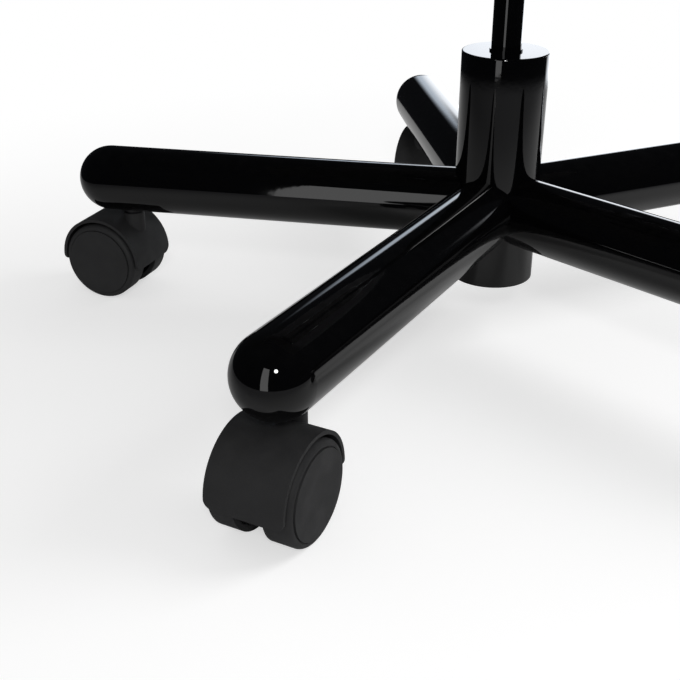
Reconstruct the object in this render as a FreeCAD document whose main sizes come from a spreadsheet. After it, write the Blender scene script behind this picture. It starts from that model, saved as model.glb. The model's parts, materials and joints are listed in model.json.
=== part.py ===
# Office chair on a five-leg star base with twin-wheel casters.
# Millimetres and degrees, +Z up, front of the seat towards -Y, origin on the floor under the hub.
import FreeCAD, Part
import Sketcher
import math
import os
import re

LEG_COUNT = 5
LEG_STEP = 360 / LEG_COUNT
FRONT_LEG_ANGLE = -90
RIB_COUNT = 6
KNOB_LOBES = 8
# How far each caster stands turned from its leg, front leg first and then anticlockwise
CASTER_TURNS = [2, -8, 20, -30, -10]

SIZES = {
    # Star base
    "base_radius": 320,
    "leg_diameter": 49,
    "leg_wall": 2.5,
    "leg_tip_flat": 0.3,
    "hub_diameter": 60,
    "hub_wall": 4,
    "hub_rise": 109.5,
    "hub_drop": 54,
    "hub_top_plate": 8,
    "hub_edge": 1,
    "fit_gap": 0.05,
    "seat_gap": 0.3,
    # Caster stem and its socket in the leg
    "caster_clearance": 4,
    "stem_inset": 15,
    "stem_diameter": 11,
    "stem_grip": 24,
    "stem_depth": 22,
    "socket_wall": 2.5,
    "socket_cap": 2,
    "collar_diameter": 15,
    "collar_thickness": 1.6,
    "collar_gap": 0.1,
    # Caster hood, axle and wheels
    "caster_trail": 19,
    "wheel_diameter": 60,
    "wheel_width": 17.5,
    "wheel_track": 18,
    "wheel_hub_diameter": 14,
    "rim_thickness": 3.5,
    "rim_round": 3.1,
    "web_thickness": 4,
    "rib_thickness": 1.8,
    "rib_setback": 4,
    "face_cap_diameter": 51.5,
    "face_groove": 0.6,
    "face_step": 0.8,
    "hood_gap": 1.4,
    "hood_wall": 2.3,
    "hood_width": 48,
    "hood_rise": 0.8,
    "hood_skirt": 4.5,
    "hood_corner": 6,
    "fork_thickness": 15,
    "fork_boss_diameter": 17,
    "fork_side_gap": 0.7,
    "boss_diameter": 16.5,
    "axle_diameter": 6,
    "axle_cover": 1.5,
    # Lift column
    "column_diameter": 20.5,
    "column_wall": 1.75,
    "column_length": 263,
    "column_engagement": 84.5,
    "column_head": 12,
    "column_lip": 2,
    "bush_length": 80,
    "bush_wall": 3,
    "bush_flange": 8,
    "bush_ring_wall": 1,
    "bush_ring_rise": 1.5,
    "rod_diameter": 8,
    "rod_collar_diameter": 18,
    "rod_collar_height": 3,
    "rod_length": 148,
    "piston_height": 12,
    "seal_height": 10,
    "cap_recess": 2,
    "cap_thickness": 8,
    "bearing_diameter": 24,
    "bearing_height": 5,
    "clip_diameter": 13,
    "clip_thickness": 1.2,
    "valve_diameter": 5,
    "valve_rise": 6,
    "valve_sunk": 10,
    # Seat mechanism
    "tray_headroom": 15,
    "tray_depth": 50,
    "tray_width": 120,
    "tray_front": 85,
    "tray_rear": 95,
    "tray_wall": 3,
    "tray_corner": 16,
    "tray_bend": 9,
    "flange_width": 22,
    "flange_thickness": 4,
    "column_socket_wall": 5,
    "column_socket_drop": 12,
    "column_socket_rise": 26,
    "seat_bolt_diameter": 6,
    "seat_bolt_head": 11,
    "seat_bolt_head_height": 4,
    "seat_bolt_spacing": 120,
    # Height lever
    "lever_reach": 35,
    "lever_rod_diameter": 8,
    "lever_length": 205,
    "lever_droop": 10,
    "lever_tongue_width": 12,
    "lever_tongue_thickness": 4,
    "lever_barrel_diameter": 12,
    "lever_barrel_width": 23,
    "lever_pin_diameter": 6,
    "lever_lug_thickness": 4,
    "lever_lug_width": 12,
    "lever_lug_cover": 1.5,
    "lever_slot_width": 13,
    "lever_slot_height": 16,
    "lever_grip_length": 70,
    "lever_grip_diameter": 15,
    "lever_grip_wall": 1.5,
    "lever_grip_end": 3,
    "lever_grip_round": 2.5,
    # Seat
    "pan_width": 440,
    "pan_front": 215,
    "pan_rear": 205,
    "pan_corner": 75,
    "pan_thickness": 10,
    "pan_edge": 3,
    "arm_bolt_diameter": 6.6,
    "arm_bolt_spacing": 60,
    "arm_bolt_inset": 40,
    "cushion_overhang": 12,
    "cushion_height": 58,
    "cushion_crown_radius": 2200,
    "cushion_shoulder": 20,
    "cushion_base_round": 7,
    # Reclining back carrier and upright
    "back_pin_diameter": 10,
    "back_pin_setback": 18,
    "back_pin_drop": 28,
    "back_pin_head": 16,
    "back_pin_head_width": 3,
    "ear_thickness": 4,
    "ear_radius": 12,
    "carrier_barrel_diameter": 30,
    "carrier_barrel_width": 51,
    "carrier_side_gap": 0.5,
    "carrier_socket_wall": 4.5,
    "carrier_socket_reach": 56,
    "carrier_socket_floor": 20,
    "bush_rubber_wall": 5.5,
    "upright_diameter": 25,
    "upright_wall": 2,
    "upright_run": 88,
    "upright_bend": 60,
    "upright_lean": 6,
    "upright_length": 400,
    "plug_depth": 15,
    # Back slider, clamp knob and pivot
    "slider_place": 300,
    "slider_wall": 5.5,
    "slider_length": 70,
    "slider_edge": 2,
    "pivot_offset": 44,
    "pivot_barrel_diameter": 18,
    "pivot_barrel_width": 26,
    "pivot_pin_diameter": 8,
    "pivot_pin_head": 13,
    "pivot_pin_head_width": 2.5,
    "pivot_side_gap": 0.4,
    "bracket_ear": 5,
    "bracket_radius": 10,
    "bracket_stand": 14,
    "bracket_plate": 5,
    "bracket_width": 84,
    "bracket_height": 64,
    "knob_diameter": 38,
    "knob_height": 18,
    "knob_scallop": 9,
    "knob_stud_diameter": 8,
    "knob_boss_diameter": 20,
    "knob_boss_rise": 8,
    "knob_tip_gap": 0.2,
    # Back shell and pad
    "shell_width": 410,
    "shell_height": 330,
    "shell_corner": 75,
    "shell_thickness": 6,
    "shell_boss": 6,
    "wrap_radius": 430,
    "lumbar_radius": 760,
    "pad_thickness": 40,
    "pad_shoulder": 14,
    "back_screw_diameter": 5,
    "back_screw_head": 9,
    "back_screw_head_height": 3,
    "back_screw_depth": 9,
    "back_screw_inset": 10,
}

# Heights and places that follow from the sizes
WHEEL_RADIUS = "(wheel_diameter / 2)"
HOOD_INSIDE = f"({WHEEL_RADIUS} + hood_gap)"
HOOD_OUTSIDE = f"({HOOD_INSIDE} + hood_wall)"
HOOD_CENTRE = f"({WHEEL_RADIUS} + hood_rise)"
LEG_BOTTOM = f"({HOOD_CENTRE} + {HOOD_OUTSIDE} + caster_clearance)"
LEG_HEIGHT = f"({LEG_BOTTOM} + leg_diameter / 2)"
LEG_TIP = "(base_radius - leg_diameter / 2)"
HUB_TOP = f"({LEG_HEIGHT} + hub_rise)"
HUB_BOTTOM = f"({LEG_HEIGHT} - hub_drop)"
STEM_CIRCLE = f"({LEG_TIP} - stem_inset)"
COLLAR_TOP = f"({LEG_BOTTOM} - collar_gap)"
COLLAR_BOTTOM = f"({COLLAR_TOP} - collar_thickness)"
BOSS_TOP = f"({COLLAR_BOTTOM} - collar_gap)"
STEM_BOTTOM = f"({COLLAR_BOTTOM} - stem_depth)"
AXLE_END = "(wheel_track / 2 + wheel_width - axle_cover - web_thickness / 4)"
COLUMN_RADIUS = "(column_diameter / 2)"
COLUMN_INSIDE = "(column_diameter / 2 - column_wall)"
COLUMN_BOTTOM = f"({HUB_TOP} - column_engagement)"
COLUMN_TOP = f"({COLUMN_BOTTOM} + column_length)"
VALVE_TOP = f"({COLUMN_TOP} + valve_rise)"
CAP_TOP = f"({HUB_BOTTOM} + cap_recess + cap_thickness)"
BEARING_TOP = f"({CAP_TOP} + bearing_height)"
ROD_BOTTOM = f"({HUB_BOTTOM} + fit_gap)"
ROD_TOP = f"({ROD_BOTTOM} + rod_length)"
TRAY_TOP = f"({COLUMN_TOP} + tray_headroom)"
TRAY_BOTTOM = f"({TRAY_TOP} - tray_depth)"
FLANGE_BOTTOM = f"({TRAY_TOP} - flange_thickness)"
SEAT_BOLT_X = "(tray_width / 2 + flange_width / 2)"
LEVER_Z = f"({VALVE_TOP} + seat_gap + lever_tongue_thickness / 2)"
LEVER_LUG_INSIDE = "(lever_barrel_width / 2 + seat_gap)"
LEVER_LUG_OUTSIDE = f"({LEVER_LUG_INSIDE} + lever_lug_thickness)"
PAN_TOP = f"({TRAY_TOP} + pan_thickness)"
CUSHION_BOTTOM = f"({PAN_TOP} + seat_gap)"
CUSHION_TOP = f"({CUSHION_BOTTOM} + cushion_height)"
BACK_PIN_Y = "(tray_rear + back_pin_setback)"
BACK_PIN_Z = f"({TRAY_TOP} - back_pin_drop)"
EAR_INSIDE = "(carrier_barrel_width / 2 + carrier_side_gap)"
EAR_OUTSIDE = f"({EAR_INSIDE} + ear_thickness)"
UPRIGHT_START = f"({BACK_PIN_Y} + carrier_socket_floor + seat_gap)"
BEND_START = f"({BACK_PIN_Y} + upright_run)"
BEND_END_Y = f"({BEND_START} + upright_bend * cos(upright_lean))"
BEND_END_Z = f"({BACK_PIN_Z} + upright_bend - upright_bend * sin(upright_lean))"
SLIDER_Y = f"({BEND_END_Y} + slider_place * sin(upright_lean))"
SLIDER_Z = f"({BEND_END_Z} + slider_place * cos(upright_lean))"
PLATE_BACK = "(pivot_offset + bracket_stand)"
PLATE_FRONT = f"({PLATE_BACK} + bracket_plate)"
SHELL_BACK = f"({PLATE_FRONT} + shell_boss)"
WRAP_AXIS = f"({SHELL_BACK} + wrap_radius)"

doc = FreeCAD.newDocument("office_chair")
sheet = doc.addObject("Spreadsheet::Sheet", "Sizes")
for row, (size_name, size_value) in enumerate(SIZES.items(), start=1):
    sheet.set(f"A{row}", size_name)
    sheet.set(f"B{row}", str(size_value))
    sheet.setAlias(f"B{row}", size_name)
doc.recompute()

pieces = []


# Helpers for sizes, placements and edges

def bound(text):
    """Turn size names into references to the sheet."""
    return re.sub(r"[a-z_]+", lambda word: "Sizes." + word[0] if word[0] in SIZES else word[0], text)


def value(text):
    """Number that an expression of size names has now."""
    return float(sheet.evalExpression(bound(text)))


def bind(item, **properties):
    for name, text in properties.items():
        item.setExpression(name, bound(text))


def place(item, x="0", y="0", z="0", turn="rotation(vector(0; 0; 1); 0)"):
    item.setExpression("Placement", bound(f"placement(vector({x}; {y}; {z}); {turn})"))


def piece(item, label):
    """Mark a finished object as a sub-part of the chair."""
    item.Label = label
    pieces.append(item)
    return item


def edge_names(shape, test):
    """Names of the edges whose middle point, ends and length pass a test."""
    names = []
    for number, edge in enumerate(shape.Edges, start=1):
        middle = edge.valueAt((edge.FirstParameter + edge.LastParameter) / 2)
        ends = [vertex.Point for vertex in edge.Vertexes]
        if test(middle, ends, edge.Length):
            names.append(f"Edge{number}")
    return names


def near(first, second):
    return abs(first - second) < 0.01


# Helpers for solids from primitives and booleans

TURNS = {
    "X": "rotation(vector(0; 1; 0); 90)",
    "Y": "rotation(vector(1; 0; 0); -90) * rotation(vector(0; 0; 1); 90)",
    "Z": "rotation(vector(0; 0; 1); 0)",
}


def cylinder(name, radius, height, x="0", y="0", z="0", axis="Z"):
    item = doc.addObject("Part::Cylinder", name)
    bind(item, Radius=radius, Height=height)
    place(item, x, y, z, TURNS[axis])
    return item


def bar(name, radius, width, y, z, x="0"):
    """Cylinder along X, centred on x."""
    return cylinder(name, radius, width, f"{x} - ({width}) / 2", y, z, "X")


def box(name, length, width, height, x, y, z):
    item = doc.addObject("Part::Box", name)
    bind(item, Length=length, Width=width, Height=height)
    place(item, x, y, z)
    return item


def fuse(name, items):
    item = doc.addObject("Part::MultiFuse", name)
    item.Shapes = items
    return item


def cut(name, base, tools):
    item = doc.addObject("Part::Cut", name)
    item.Base = base
    item.Tool = tools[0] if len(tools) == 1 else fuse(name + "_tools", tools)
    return item


def common(name, base, tool):
    item = doc.addObject("Part::Common", name)
    item.Base = base
    item.Tool = tool
    return item


def rounded(name, base, radius, test):
    """Round the edges of a solid that pass a test."""
    doc.recompute()
    item = doc.addObject("Part::Fillet", name)
    item.Base = base
    size = value(radius)
    item.Edges = [(int(edge[4:]), size, size) for edge in edge_names(base.Shape, test)]
    return item


# Helpers for bodies with sketches

def new_body(name):
    return doc.addObject("PartDesign::Body", name)


def new_sketch(body, role, x="0", y="0", z="0"):
    """Sketch on one of the body's own planes, moved by x, y, z in the sketch's own directions."""
    sketch = body.newObject("Sketcher::SketchObject", body.Name + "_sketch")
    plane = [item for item in body.Origin.OriginFeatures if item.Role == role][0]
    sketch.AttachmentSupport = [(plane, "")]
    sketch.MapMode = "FlatFace"
    for letter, text in zip("xyz", (x, y, z)):
        sketch.setExpression(f"AttachmentOffset.Base.{letter}", bound(text))
    return sketch


def pin_point(sketch, line, end, x, y):
    """Hold one end of a line at x, y given as expressions."""
    for kind, axis, text in (("DistanceX", -2, x), ("DistanceY", -1, y)):
        if text == "0":
            sketch.addConstraint(Sketcher.Constraint("PointOnObject", line, end, axis))
        else:
            number = sketch.addConstraint(Sketcher.Constraint(kind, -1, 1, line, end, value(text)))
            sketch.setExpression(f"Constraints[{number}]", bound(text))


def outline(sketch, points):
    """Closed outline of straight lines through points given as expressions."""
    spots = [FreeCAD.Vector(value(x), value(y), 0) for x, y in points]
    first = sketch.GeometryCount
    count = len(points)
    for number in range(count):
        sketch.addGeometry(Part.LineSegment(spots[number], spots[(number + 1) % count]))
    for number in range(count):
        following = first + (number + 1) % count
        sketch.addConstraint(Sketcher.Constraint("Coincident", first + number, 2, following, 1))
        pin_point(sketch, first + number, 1, *points[number])


def rectangle(sketch, left, right, low, high):
    outline(sketch, [(left, low), (right, low), (right, high), (left, high)])


def circle(sketch, radius, x="0", y="0"):
    centre = FreeCAD.Vector(value(x), value(y), 0)
    ring = sketch.addGeometry(Part.Circle(centre, FreeCAD.Vector(0, 0, 1), value(radius)))
    number = sketch.addConstraint(Sketcher.Constraint("Radius", ring, value(radius)))
    sketch.setExpression(f"Constraints[{number}]", bound(radius))
    pin_point(sketch, ring, 3, x, y)


def revolve(body, sketch):
    """Full turn about the sketch's upright axis."""
    turn = body.newObject("PartDesign::Revolution", body.Name + "_turn")
    turn.Profile = sketch
    turn.ReferenceAxis = (sketch, ["V_Axis"])
    turn.Angle = 360
    body.Tip = turn
    return turn


def pad(body, sketch, length, symmetric=False):
    item = body.newObject("PartDesign::Pad", body.Name + "_pad")
    item.Profile = sketch
    item.SideType = "Symmetric" if symmetric else "One side"
    bind(item, Length=length)
    body.Tip = item
    return item


def pocket_through(body, sketch):
    item = body.newObject("PartDesign::Pocket", body.Name + "_pocket")
    item.Profile = sketch
    item.SideType = "Symmetric"
    item.Type = "ThroughAll"
    body.Tip = item
    return item


def round_body(body, radius, test):
    """Round the edges of a body that pass a test."""
    doc.recompute()
    base = body.Tip
    names = edge_names(base.Shape, test)
    item = body.newObject("PartDesign::Fillet", body.Name + "_round")
    item.Base = (base, names)
    bind(item, Radius=radius)
    body.Tip = item
    return item


def turned_body(name, points):
    """Body turned about the Z axis from a profile of radius and height."""
    body = new_body(name)
    sketch = new_sketch(body, "XZ_Plane")
    outline(sketch, points)
    revolve(body, sketch)
    return body


def plate_body(name, half_width, front, rear, low, height, corner):
    """Flat plate with rounded corners in plan."""
    body = new_body(name)
    sketch = new_sketch(body, "XY_Plane", z=low)
    rectangle(sketch, f"-({half_width})", half_width, f"-({front})", rear)
    pad(body, sketch, height)
    depth = value(height)

    def upright(middle, ends, length):
        return near(length, depth) and near(ends[0].x, ends[1].x) and near(ends[0].y, ends[1].y)

    round_body(body, corner, upright)
    return body


# Star base: five domed tubes coped to a hub tube and mitred to each other

def leg_angle(number):
    return FRONT_LEG_ANGLE + LEG_STEP * number


def leg_form(name, radius, angle):
    """Straight round bar from the hub axis with a ball end, which has a tiny flat instead of a pole."""
    turn = f"rotation(vector(0; 0; 1); {angle}) * {TURNS['X']}"
    stem = cylinder(name + "_bar", radius, LEG_TIP)
    place(stem, z=LEG_HEIGHT, turn=turn)
    ball = doc.addObject("Part::Sphere", name + "_ball")
    bind(ball, Radius=radius, Angle2=f"acos(leg_tip_flat / ({radius}))")
    place(ball, f"{LEG_TIP} * cos({angle})", f"{LEG_TIP} * sin({angle})", LEG_HEIGHT, turn)
    return fuse(name, [stem, ball])


def stem_place(item, number, turned=True):
    """Put a caster piece on the stem axis of one leg."""
    angle = leg_angle(number)
    heading = angle + CASTER_TURNS[number] if turned else angle
    turn = f"rotation(vector(0; 0; 1); {heading})"
    place(item, f"{STEM_CIRCLE} * cos({angle})", f"{STEM_CIRCLE} * sin({angle})", "0", turn)


def make_leg(number):
    """Tube cut to the hub's curve, kept inside its own fifth of the star."""
    tag = f"leg_{number + 1}"
    angle = leg_angle(number)
    skin = leg_form(f"{tag}_skin", "leg_diameter / 2", angle)
    hollow = leg_form(f"{tag}_hollow", "leg_diameter / 2 - leg_wall", angle)
    cope = cylinder(f"{tag}_cope", "hub_diameter / 2", HUB_TOP)
    hole = cylinder(f"{tag}_hole", "stem_diameter / 2 + fit_gap + socket_wall + fit_gap", LEG_HEIGHT)
    stem_place(hole, number, turned=False)
    sector = cylinder(f"{tag}_sector", "base_radius + leg_diameter", HUB_TOP)
    sector.Angle = LEG_STEP
    place(sector, turn=f"rotation(vector(0; 0; 1); {angle - LEG_STEP / 2})")
    tube = cut(f"{tag}_tube", skin, [hollow, cope, hole])
    piece(common(f"{tag}_form", tube, sector), tag)


def make_hub():
    inside = "hub_diameter / 2 - hub_wall"
    hole = f"{COLUMN_RADIUS} + fit_gap"
    ring = f"{hole} + bush_ring_wall"
    plate = f"{HUB_TOP} - hub_top_plate"
    core = cylinder("hub_core", "hub_diameter / 2", "hub_rise + hub_drop", z=HUB_BOTTOM)
    high = value(HUB_TOP)
    soft_core = rounded("hub_soft_core", core, "hub_edge", lambda middle, ends, length: near(middle.z, high))
    hub = cut("hub_form", soft_core, [
        cylinder("hub_bore", inside, "hub_rise + hub_drop - hub_top_plate", z=HUB_BOTTOM),
        cylinder("hub_mouth", f"{ring} + fit_gap", "hub_rise + hub_drop", z=HUB_BOTTOM)])
    piece(hub, "hub_tube")

    sleeve = f"{hole} + bush_wall"
    flange = f"{inside} - fit_gap"
    low = f"{plate} - bush_length"
    bush = turned_body("guide_bush", [
        (hole, low), (flange, low), (flange, f"{low} + bush_flange"), (sleeve, f"{low} + bush_flange"),
        (sleeve, f"{plate} - bush_flange"), (flange, f"{plate} - bush_flange"), (flange, plate),
        (ring, plate), (ring, f"{HUB_TOP} + bush_ring_rise"), (hole, f"{HUB_TOP} + bush_ring_rise")])
    piece(bush, "guide_bush")

    rod_hole = "rod_diameter / 2 + fit_gap"
    cap_bottom = f"{HUB_BOTTOM} + cap_recess"
    cap = turned_body("hub_bottom_cap", [
        (rod_hole, cap_bottom), (flange, cap_bottom), (flange, CAP_TOP), (rod_hole, CAP_TOP)])
    piece(cap, "hub_bottom_cap")
    groove_low = f"{CAP_TOP} + bearing_height / 3"
    groove_high = f"{BEARING_TOP} - bearing_height / 3"
    rim = "bearing_diameter / 2"
    waist = "bearing_diameter / 2 - bearing_height / 3"
    bearing = turned_body("thrust_bearing", [
        (rod_hole, CAP_TOP), (rim, CAP_TOP), (rim, groove_low), (waist, groove_low),
        (waist, groove_high), (rim, groove_high), (rim, BEARING_TOP), (rod_hole, BEARING_TOP)])
    piece(bearing, "thrust_bearing")


# Casters: stem, socket, hood, axle and two cup wheels on each leg

def make_stems_and_sockets():
    stem_radius = "stem_diameter / 2"
    stem_top = f"{LEG_BOTTOM} + stem_grip"
    hole = f"{stem_radius} + fit_gap"
    sleeve = f"{hole} + socket_wall"
    roof = f"{stem_top} + seat_gap"
    sockets = []
    for number in range(LEG_COUNT):
        stem = turned_body(f"caster_{number + 1}_stem", [
            ("0", STEM_BOTTOM), (stem_radius, STEM_BOTTOM), (stem_radius, COLLAR_BOTTOM),
            ("collar_diameter / 2", COLLAR_BOTTOM), ("collar_diameter / 2", COLLAR_TOP),
            (stem_radius, COLLAR_TOP), (stem_radius, stem_top), ("0", stem_top)])
        stem_place(stem, number)
        piece(stem, f"caster_{number + 1}_stem")
        socket = turned_body(f"socket_{number + 1}", [
            (hole, LEG_BOTTOM), (sleeve, LEG_BOTTOM), (sleeve, f"{roof} + socket_cap"),
            ("0", f"{roof} + socket_cap"), ("0", roof), (hole, roof)])
        stem_place(socket, number)
        sockets.append(socket)
    group = doc.addObject("Part::Compound", "socket_group")
    group.Links = sockets
    piece(group, "caster_sockets")


def make_hood(number):
    """Thin arch a little above the wheels' centre, with a web between the wheels that holds stem and axle."""
    tag = f"caster_{number + 1}_hood"

    def across(name, radius, width, height=HOOD_CENTRE):
        return cylinder(f"{tag}_{name}", radius, width, "caster_trail", f"-({width}) / 2", height, "Y")

    below = box(f"{tag}_below", f"4 * {HOOD_OUTSIDE}", "2 * hood_width", HOOD_CENTRE,
                f"caster_trail - 2 * {HOOD_OUTSIDE}", "-hood_width", "-hood_skirt")
    arch = cut(f"{tag}_arch", across("outer", HOOD_OUTSIDE, "hood_width"),
               [across("inner", HOOD_INSIDE, "2 * hood_width"), below])
    lip = value(f"{HOOD_CENTRE} - hood_skirt")
    edge = value("hood_width / 2")
    soft_arch = rounded(f"{tag}_soft_arch", arch, "hood_corner", lambda middle, ends, length:
                        near(middle.z, lip) and near(abs(middle.y), edge))
    web = cut(f"{tag}_web", across("disc", f"{HOOD_INSIDE} + hood_wall / 2", "fork_thickness"), [below])
    boss_width = "wheel_track - 2 * fork_side_gap"
    axle_boss = across("axle_boss", "fork_boss_diameter / 2", boss_width, WHEEL_RADIUS)
    stem_boss = cylinder(f"{tag}_stem_boss", "boss_diameter / 2", f"{BOSS_TOP} - {STEM_BOTTOM} + socket_cap",
                         z=f"{STEM_BOTTOM} - socket_cap")
    solid = fuse(f"{tag}_solid", [soft_arch, web, axle_boss, stem_boss])
    stem_bore = cylinder(f"{tag}_stem_bore", "stem_diameter / 2 + fit_gap", LEG_HEIGHT,
                         z=f"{STEM_BOTTOM} - seat_gap")
    axle_bore = across("axle_bore", "axle_diameter / 2 + fit_gap", "hood_width", WHEEL_RADIUS)
    hood = cut(f"{tag}_form", solid, [stem_bore, axle_bore])
    stem_place(hood, number)
    piece(hood, tag)


def make_axle(number):
    """Rod across the caster, in a compound that carries the caster's own place."""
    axle = cylinder(f"caster_{number + 1}_axle_rod", "axle_diameter / 2", f"2 * {AXLE_END}",
                    "caster_trail", f"-{AXLE_END}", WHEEL_RADIUS, "Y")
    moved = doc.addObject("Part::Compound", f"caster_{number + 1}_axle_form")
    moved.Links = [axle]
    stem_place(moved, number)
    piece(moved, f"caster_{number + 1}_axle")


def make_wheel(number, side, word):
    """Cup wheel: rounded rim, closed outer face with a capped centre, ribbed hollow inside."""
    def across(text):
        return f"{side} * ({text})"

    inner = across("wheel_track / 2")
    outer = across("wheel_track / 2 + wheel_width")
    face = across("wheel_track / 2 + wheel_width - face_step")
    groove = across("wheel_track / 2 + wheel_width - face_step - face_groove")
    web = across("wheel_track / 2 + wheel_width - face_step - web_thickness")
    bore_end = across(f"{AXLE_END} + seat_gap")
    bore = "axle_diameter / 2 + fit_gap"
    hub = "wheel_hub_diameter / 2"
    rim = f"{WHEEL_RADIUS} - rim_thickness"
    cap = "face_cap_diameter / 2"
    name = f"caster_{number + 1}_wheel_{word}"
    wheel = new_body(name)
    profile = new_sketch(wheel, "XY_Plane", "caster_trail", "0", WHEEL_RADIUS)
    outline(profile, [
        (bore, inner), (hub, inner), (hub, web), (rim, web), (rim, inner), (WHEEL_RADIUS, inner),
        (WHEEL_RADIUS, face), (f"{cap} + face_groove", face), (f"{cap} + face_groove", groove),
        (cap, groove), (cap, outer), ("0", outer), ("0", bore_end), (bore, bore_end)])
    revolve(wheel, profile)
    rib_sketch = new_sketch(wheel, "XY_Plane", "caster_trail", "0", WHEEL_RADIUS)
    rib_end = across("wheel_track / 2 + rib_setback")
    overlap = across("wheel_track / 2 + wheel_width - face_step - web_thickness / 2")
    rectangle(rib_sketch, f"{hub} - fit_gap", f"{rim} + rim_thickness / 4", rib_end, overlap)
    rib = pad(wheel, rib_sketch, "rib_thickness", symmetric=True)
    doc.recompute()
    ribs = wheel.newObject("PartDesign::PolarPattern", name + "_ribs")
    ribs.Originals = [rib]
    ribs.Axis = (rib_sketch, ["V_Axis"])
    ribs.Angle = 360
    ribs.Occurrences = RIB_COUNT
    wheel.Tip = ribs
    shoulder = value(face)
    tread = value(WHEEL_RADIUS)

    def on_rim(middle, ends, length):
        return near(middle.y, shoulder) and length > 2 * math.pi * (tread - 1)

    round_body(wheel, "rim_round", on_rim)
    stem_place(wheel, number)
    piece(wheel, name)


def make_casters():
    make_stems_and_sockets()
    for number in range(LEG_COUNT):
        make_hood(number)
        make_axle(number)
        make_wheel(number, 1, "left")
        make_wheel(number, -1, "right")


# Lift column: swivelling rod and piston inside, tube outside

def make_column():
    rod_radius = "rod_diameter / 2"
    collar = "rod_collar_diameter / 2"
    seat = f"{BEARING_TOP} + fit_gap"
    rod = turned_body("lift_rod", [
        ("0", ROD_BOTTOM), (rod_radius, ROD_BOTTOM), (rod_radius, seat), (collar, seat),
        (collar, f"{seat} + rod_collar_height"), (rod_radius, f"{seat} + rod_collar_height"),
        (rod_radius, ROD_TOP), ("0", ROD_TOP)])
    piece(rod, "lift_rod")
    piston_radius = f"{COLUMN_INSIDE} - fit_gap"
    piston = turned_body("lift_piston", [
        ("0", ROD_TOP), (piston_radius, ROD_TOP),
        (piston_radius, f"{ROD_TOP} + piston_height"), ("0", f"{ROD_TOP} + piston_height")])
    piece(piston, "lift_piston")
    clip_top = f"{HUB_BOTTOM} + cap_recess - fit_gap"
    clip = turned_body("rod_clip", [
        (f"{rod_radius} + fit_gap", f"{clip_top} - clip_thickness"),
        ("clip_diameter / 2", f"{clip_top} - clip_thickness"),
        ("clip_diameter / 2", clip_top), (f"{rod_radius} + fit_gap", clip_top)])
    piece(clip, "rod_clip")

    rod_hole = f"{rod_radius} + fit_gap"
    valve_hole = "valve_diameter / 2 + fit_gap"
    lip_top = f"{COLUMN_BOTTOM} + column_lip"
    head = f"{COLUMN_TOP} - column_head"
    tube = turned_body("column_tube", [
        (rod_hole, COLUMN_BOTTOM), (COLUMN_RADIUS, COLUMN_BOTTOM), (COLUMN_RADIUS, COLUMN_TOP),
        (valve_hole, COLUMN_TOP), (valve_hole, head), (COLUMN_INSIDE, head),
        (COLUMN_INSIDE, lip_top), (rod_hole, lip_top)])
    piece(tube, "column_tube")
    seal = turned_body("rod_seal", [
        (rod_hole, lip_top), (piston_radius, lip_top),
        (piston_radius, f"{lip_top} + seal_height"), (rod_hole, f"{lip_top} + seal_height")])
    piece(seal, "rod_seal")
    valve = turned_body("valve_pin", [
        ("0", f"{COLUMN_TOP} - valve_sunk"), ("valve_diameter / 2", f"{COLUMN_TOP} - valve_sunk"),
        ("valve_diameter / 2", VALVE_TOP), ("0", VALVE_TOP)])
    piece(valve, "valve_pin")


# Seat mechanism: pressed tray with flanges, column socket, lever lugs and back ears

def tray_form(name, inset, height):
    """Block with rounded upright and bottom edges, drawn in and raised by an inset."""
    low = f"{TRAY_BOTTOM} + {inset}"
    body = plate_body(name, f"tray_width / 2 - {inset}", f"tray_front - {inset}", f"tray_rear - {inset}", low,
                      height, f"tray_corner - {inset}")
    floor = value(low)
    round_body(body, f"tray_bend - {inset}", lambda middle, ends, length: near(middle.z, floor))
    return body


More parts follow.
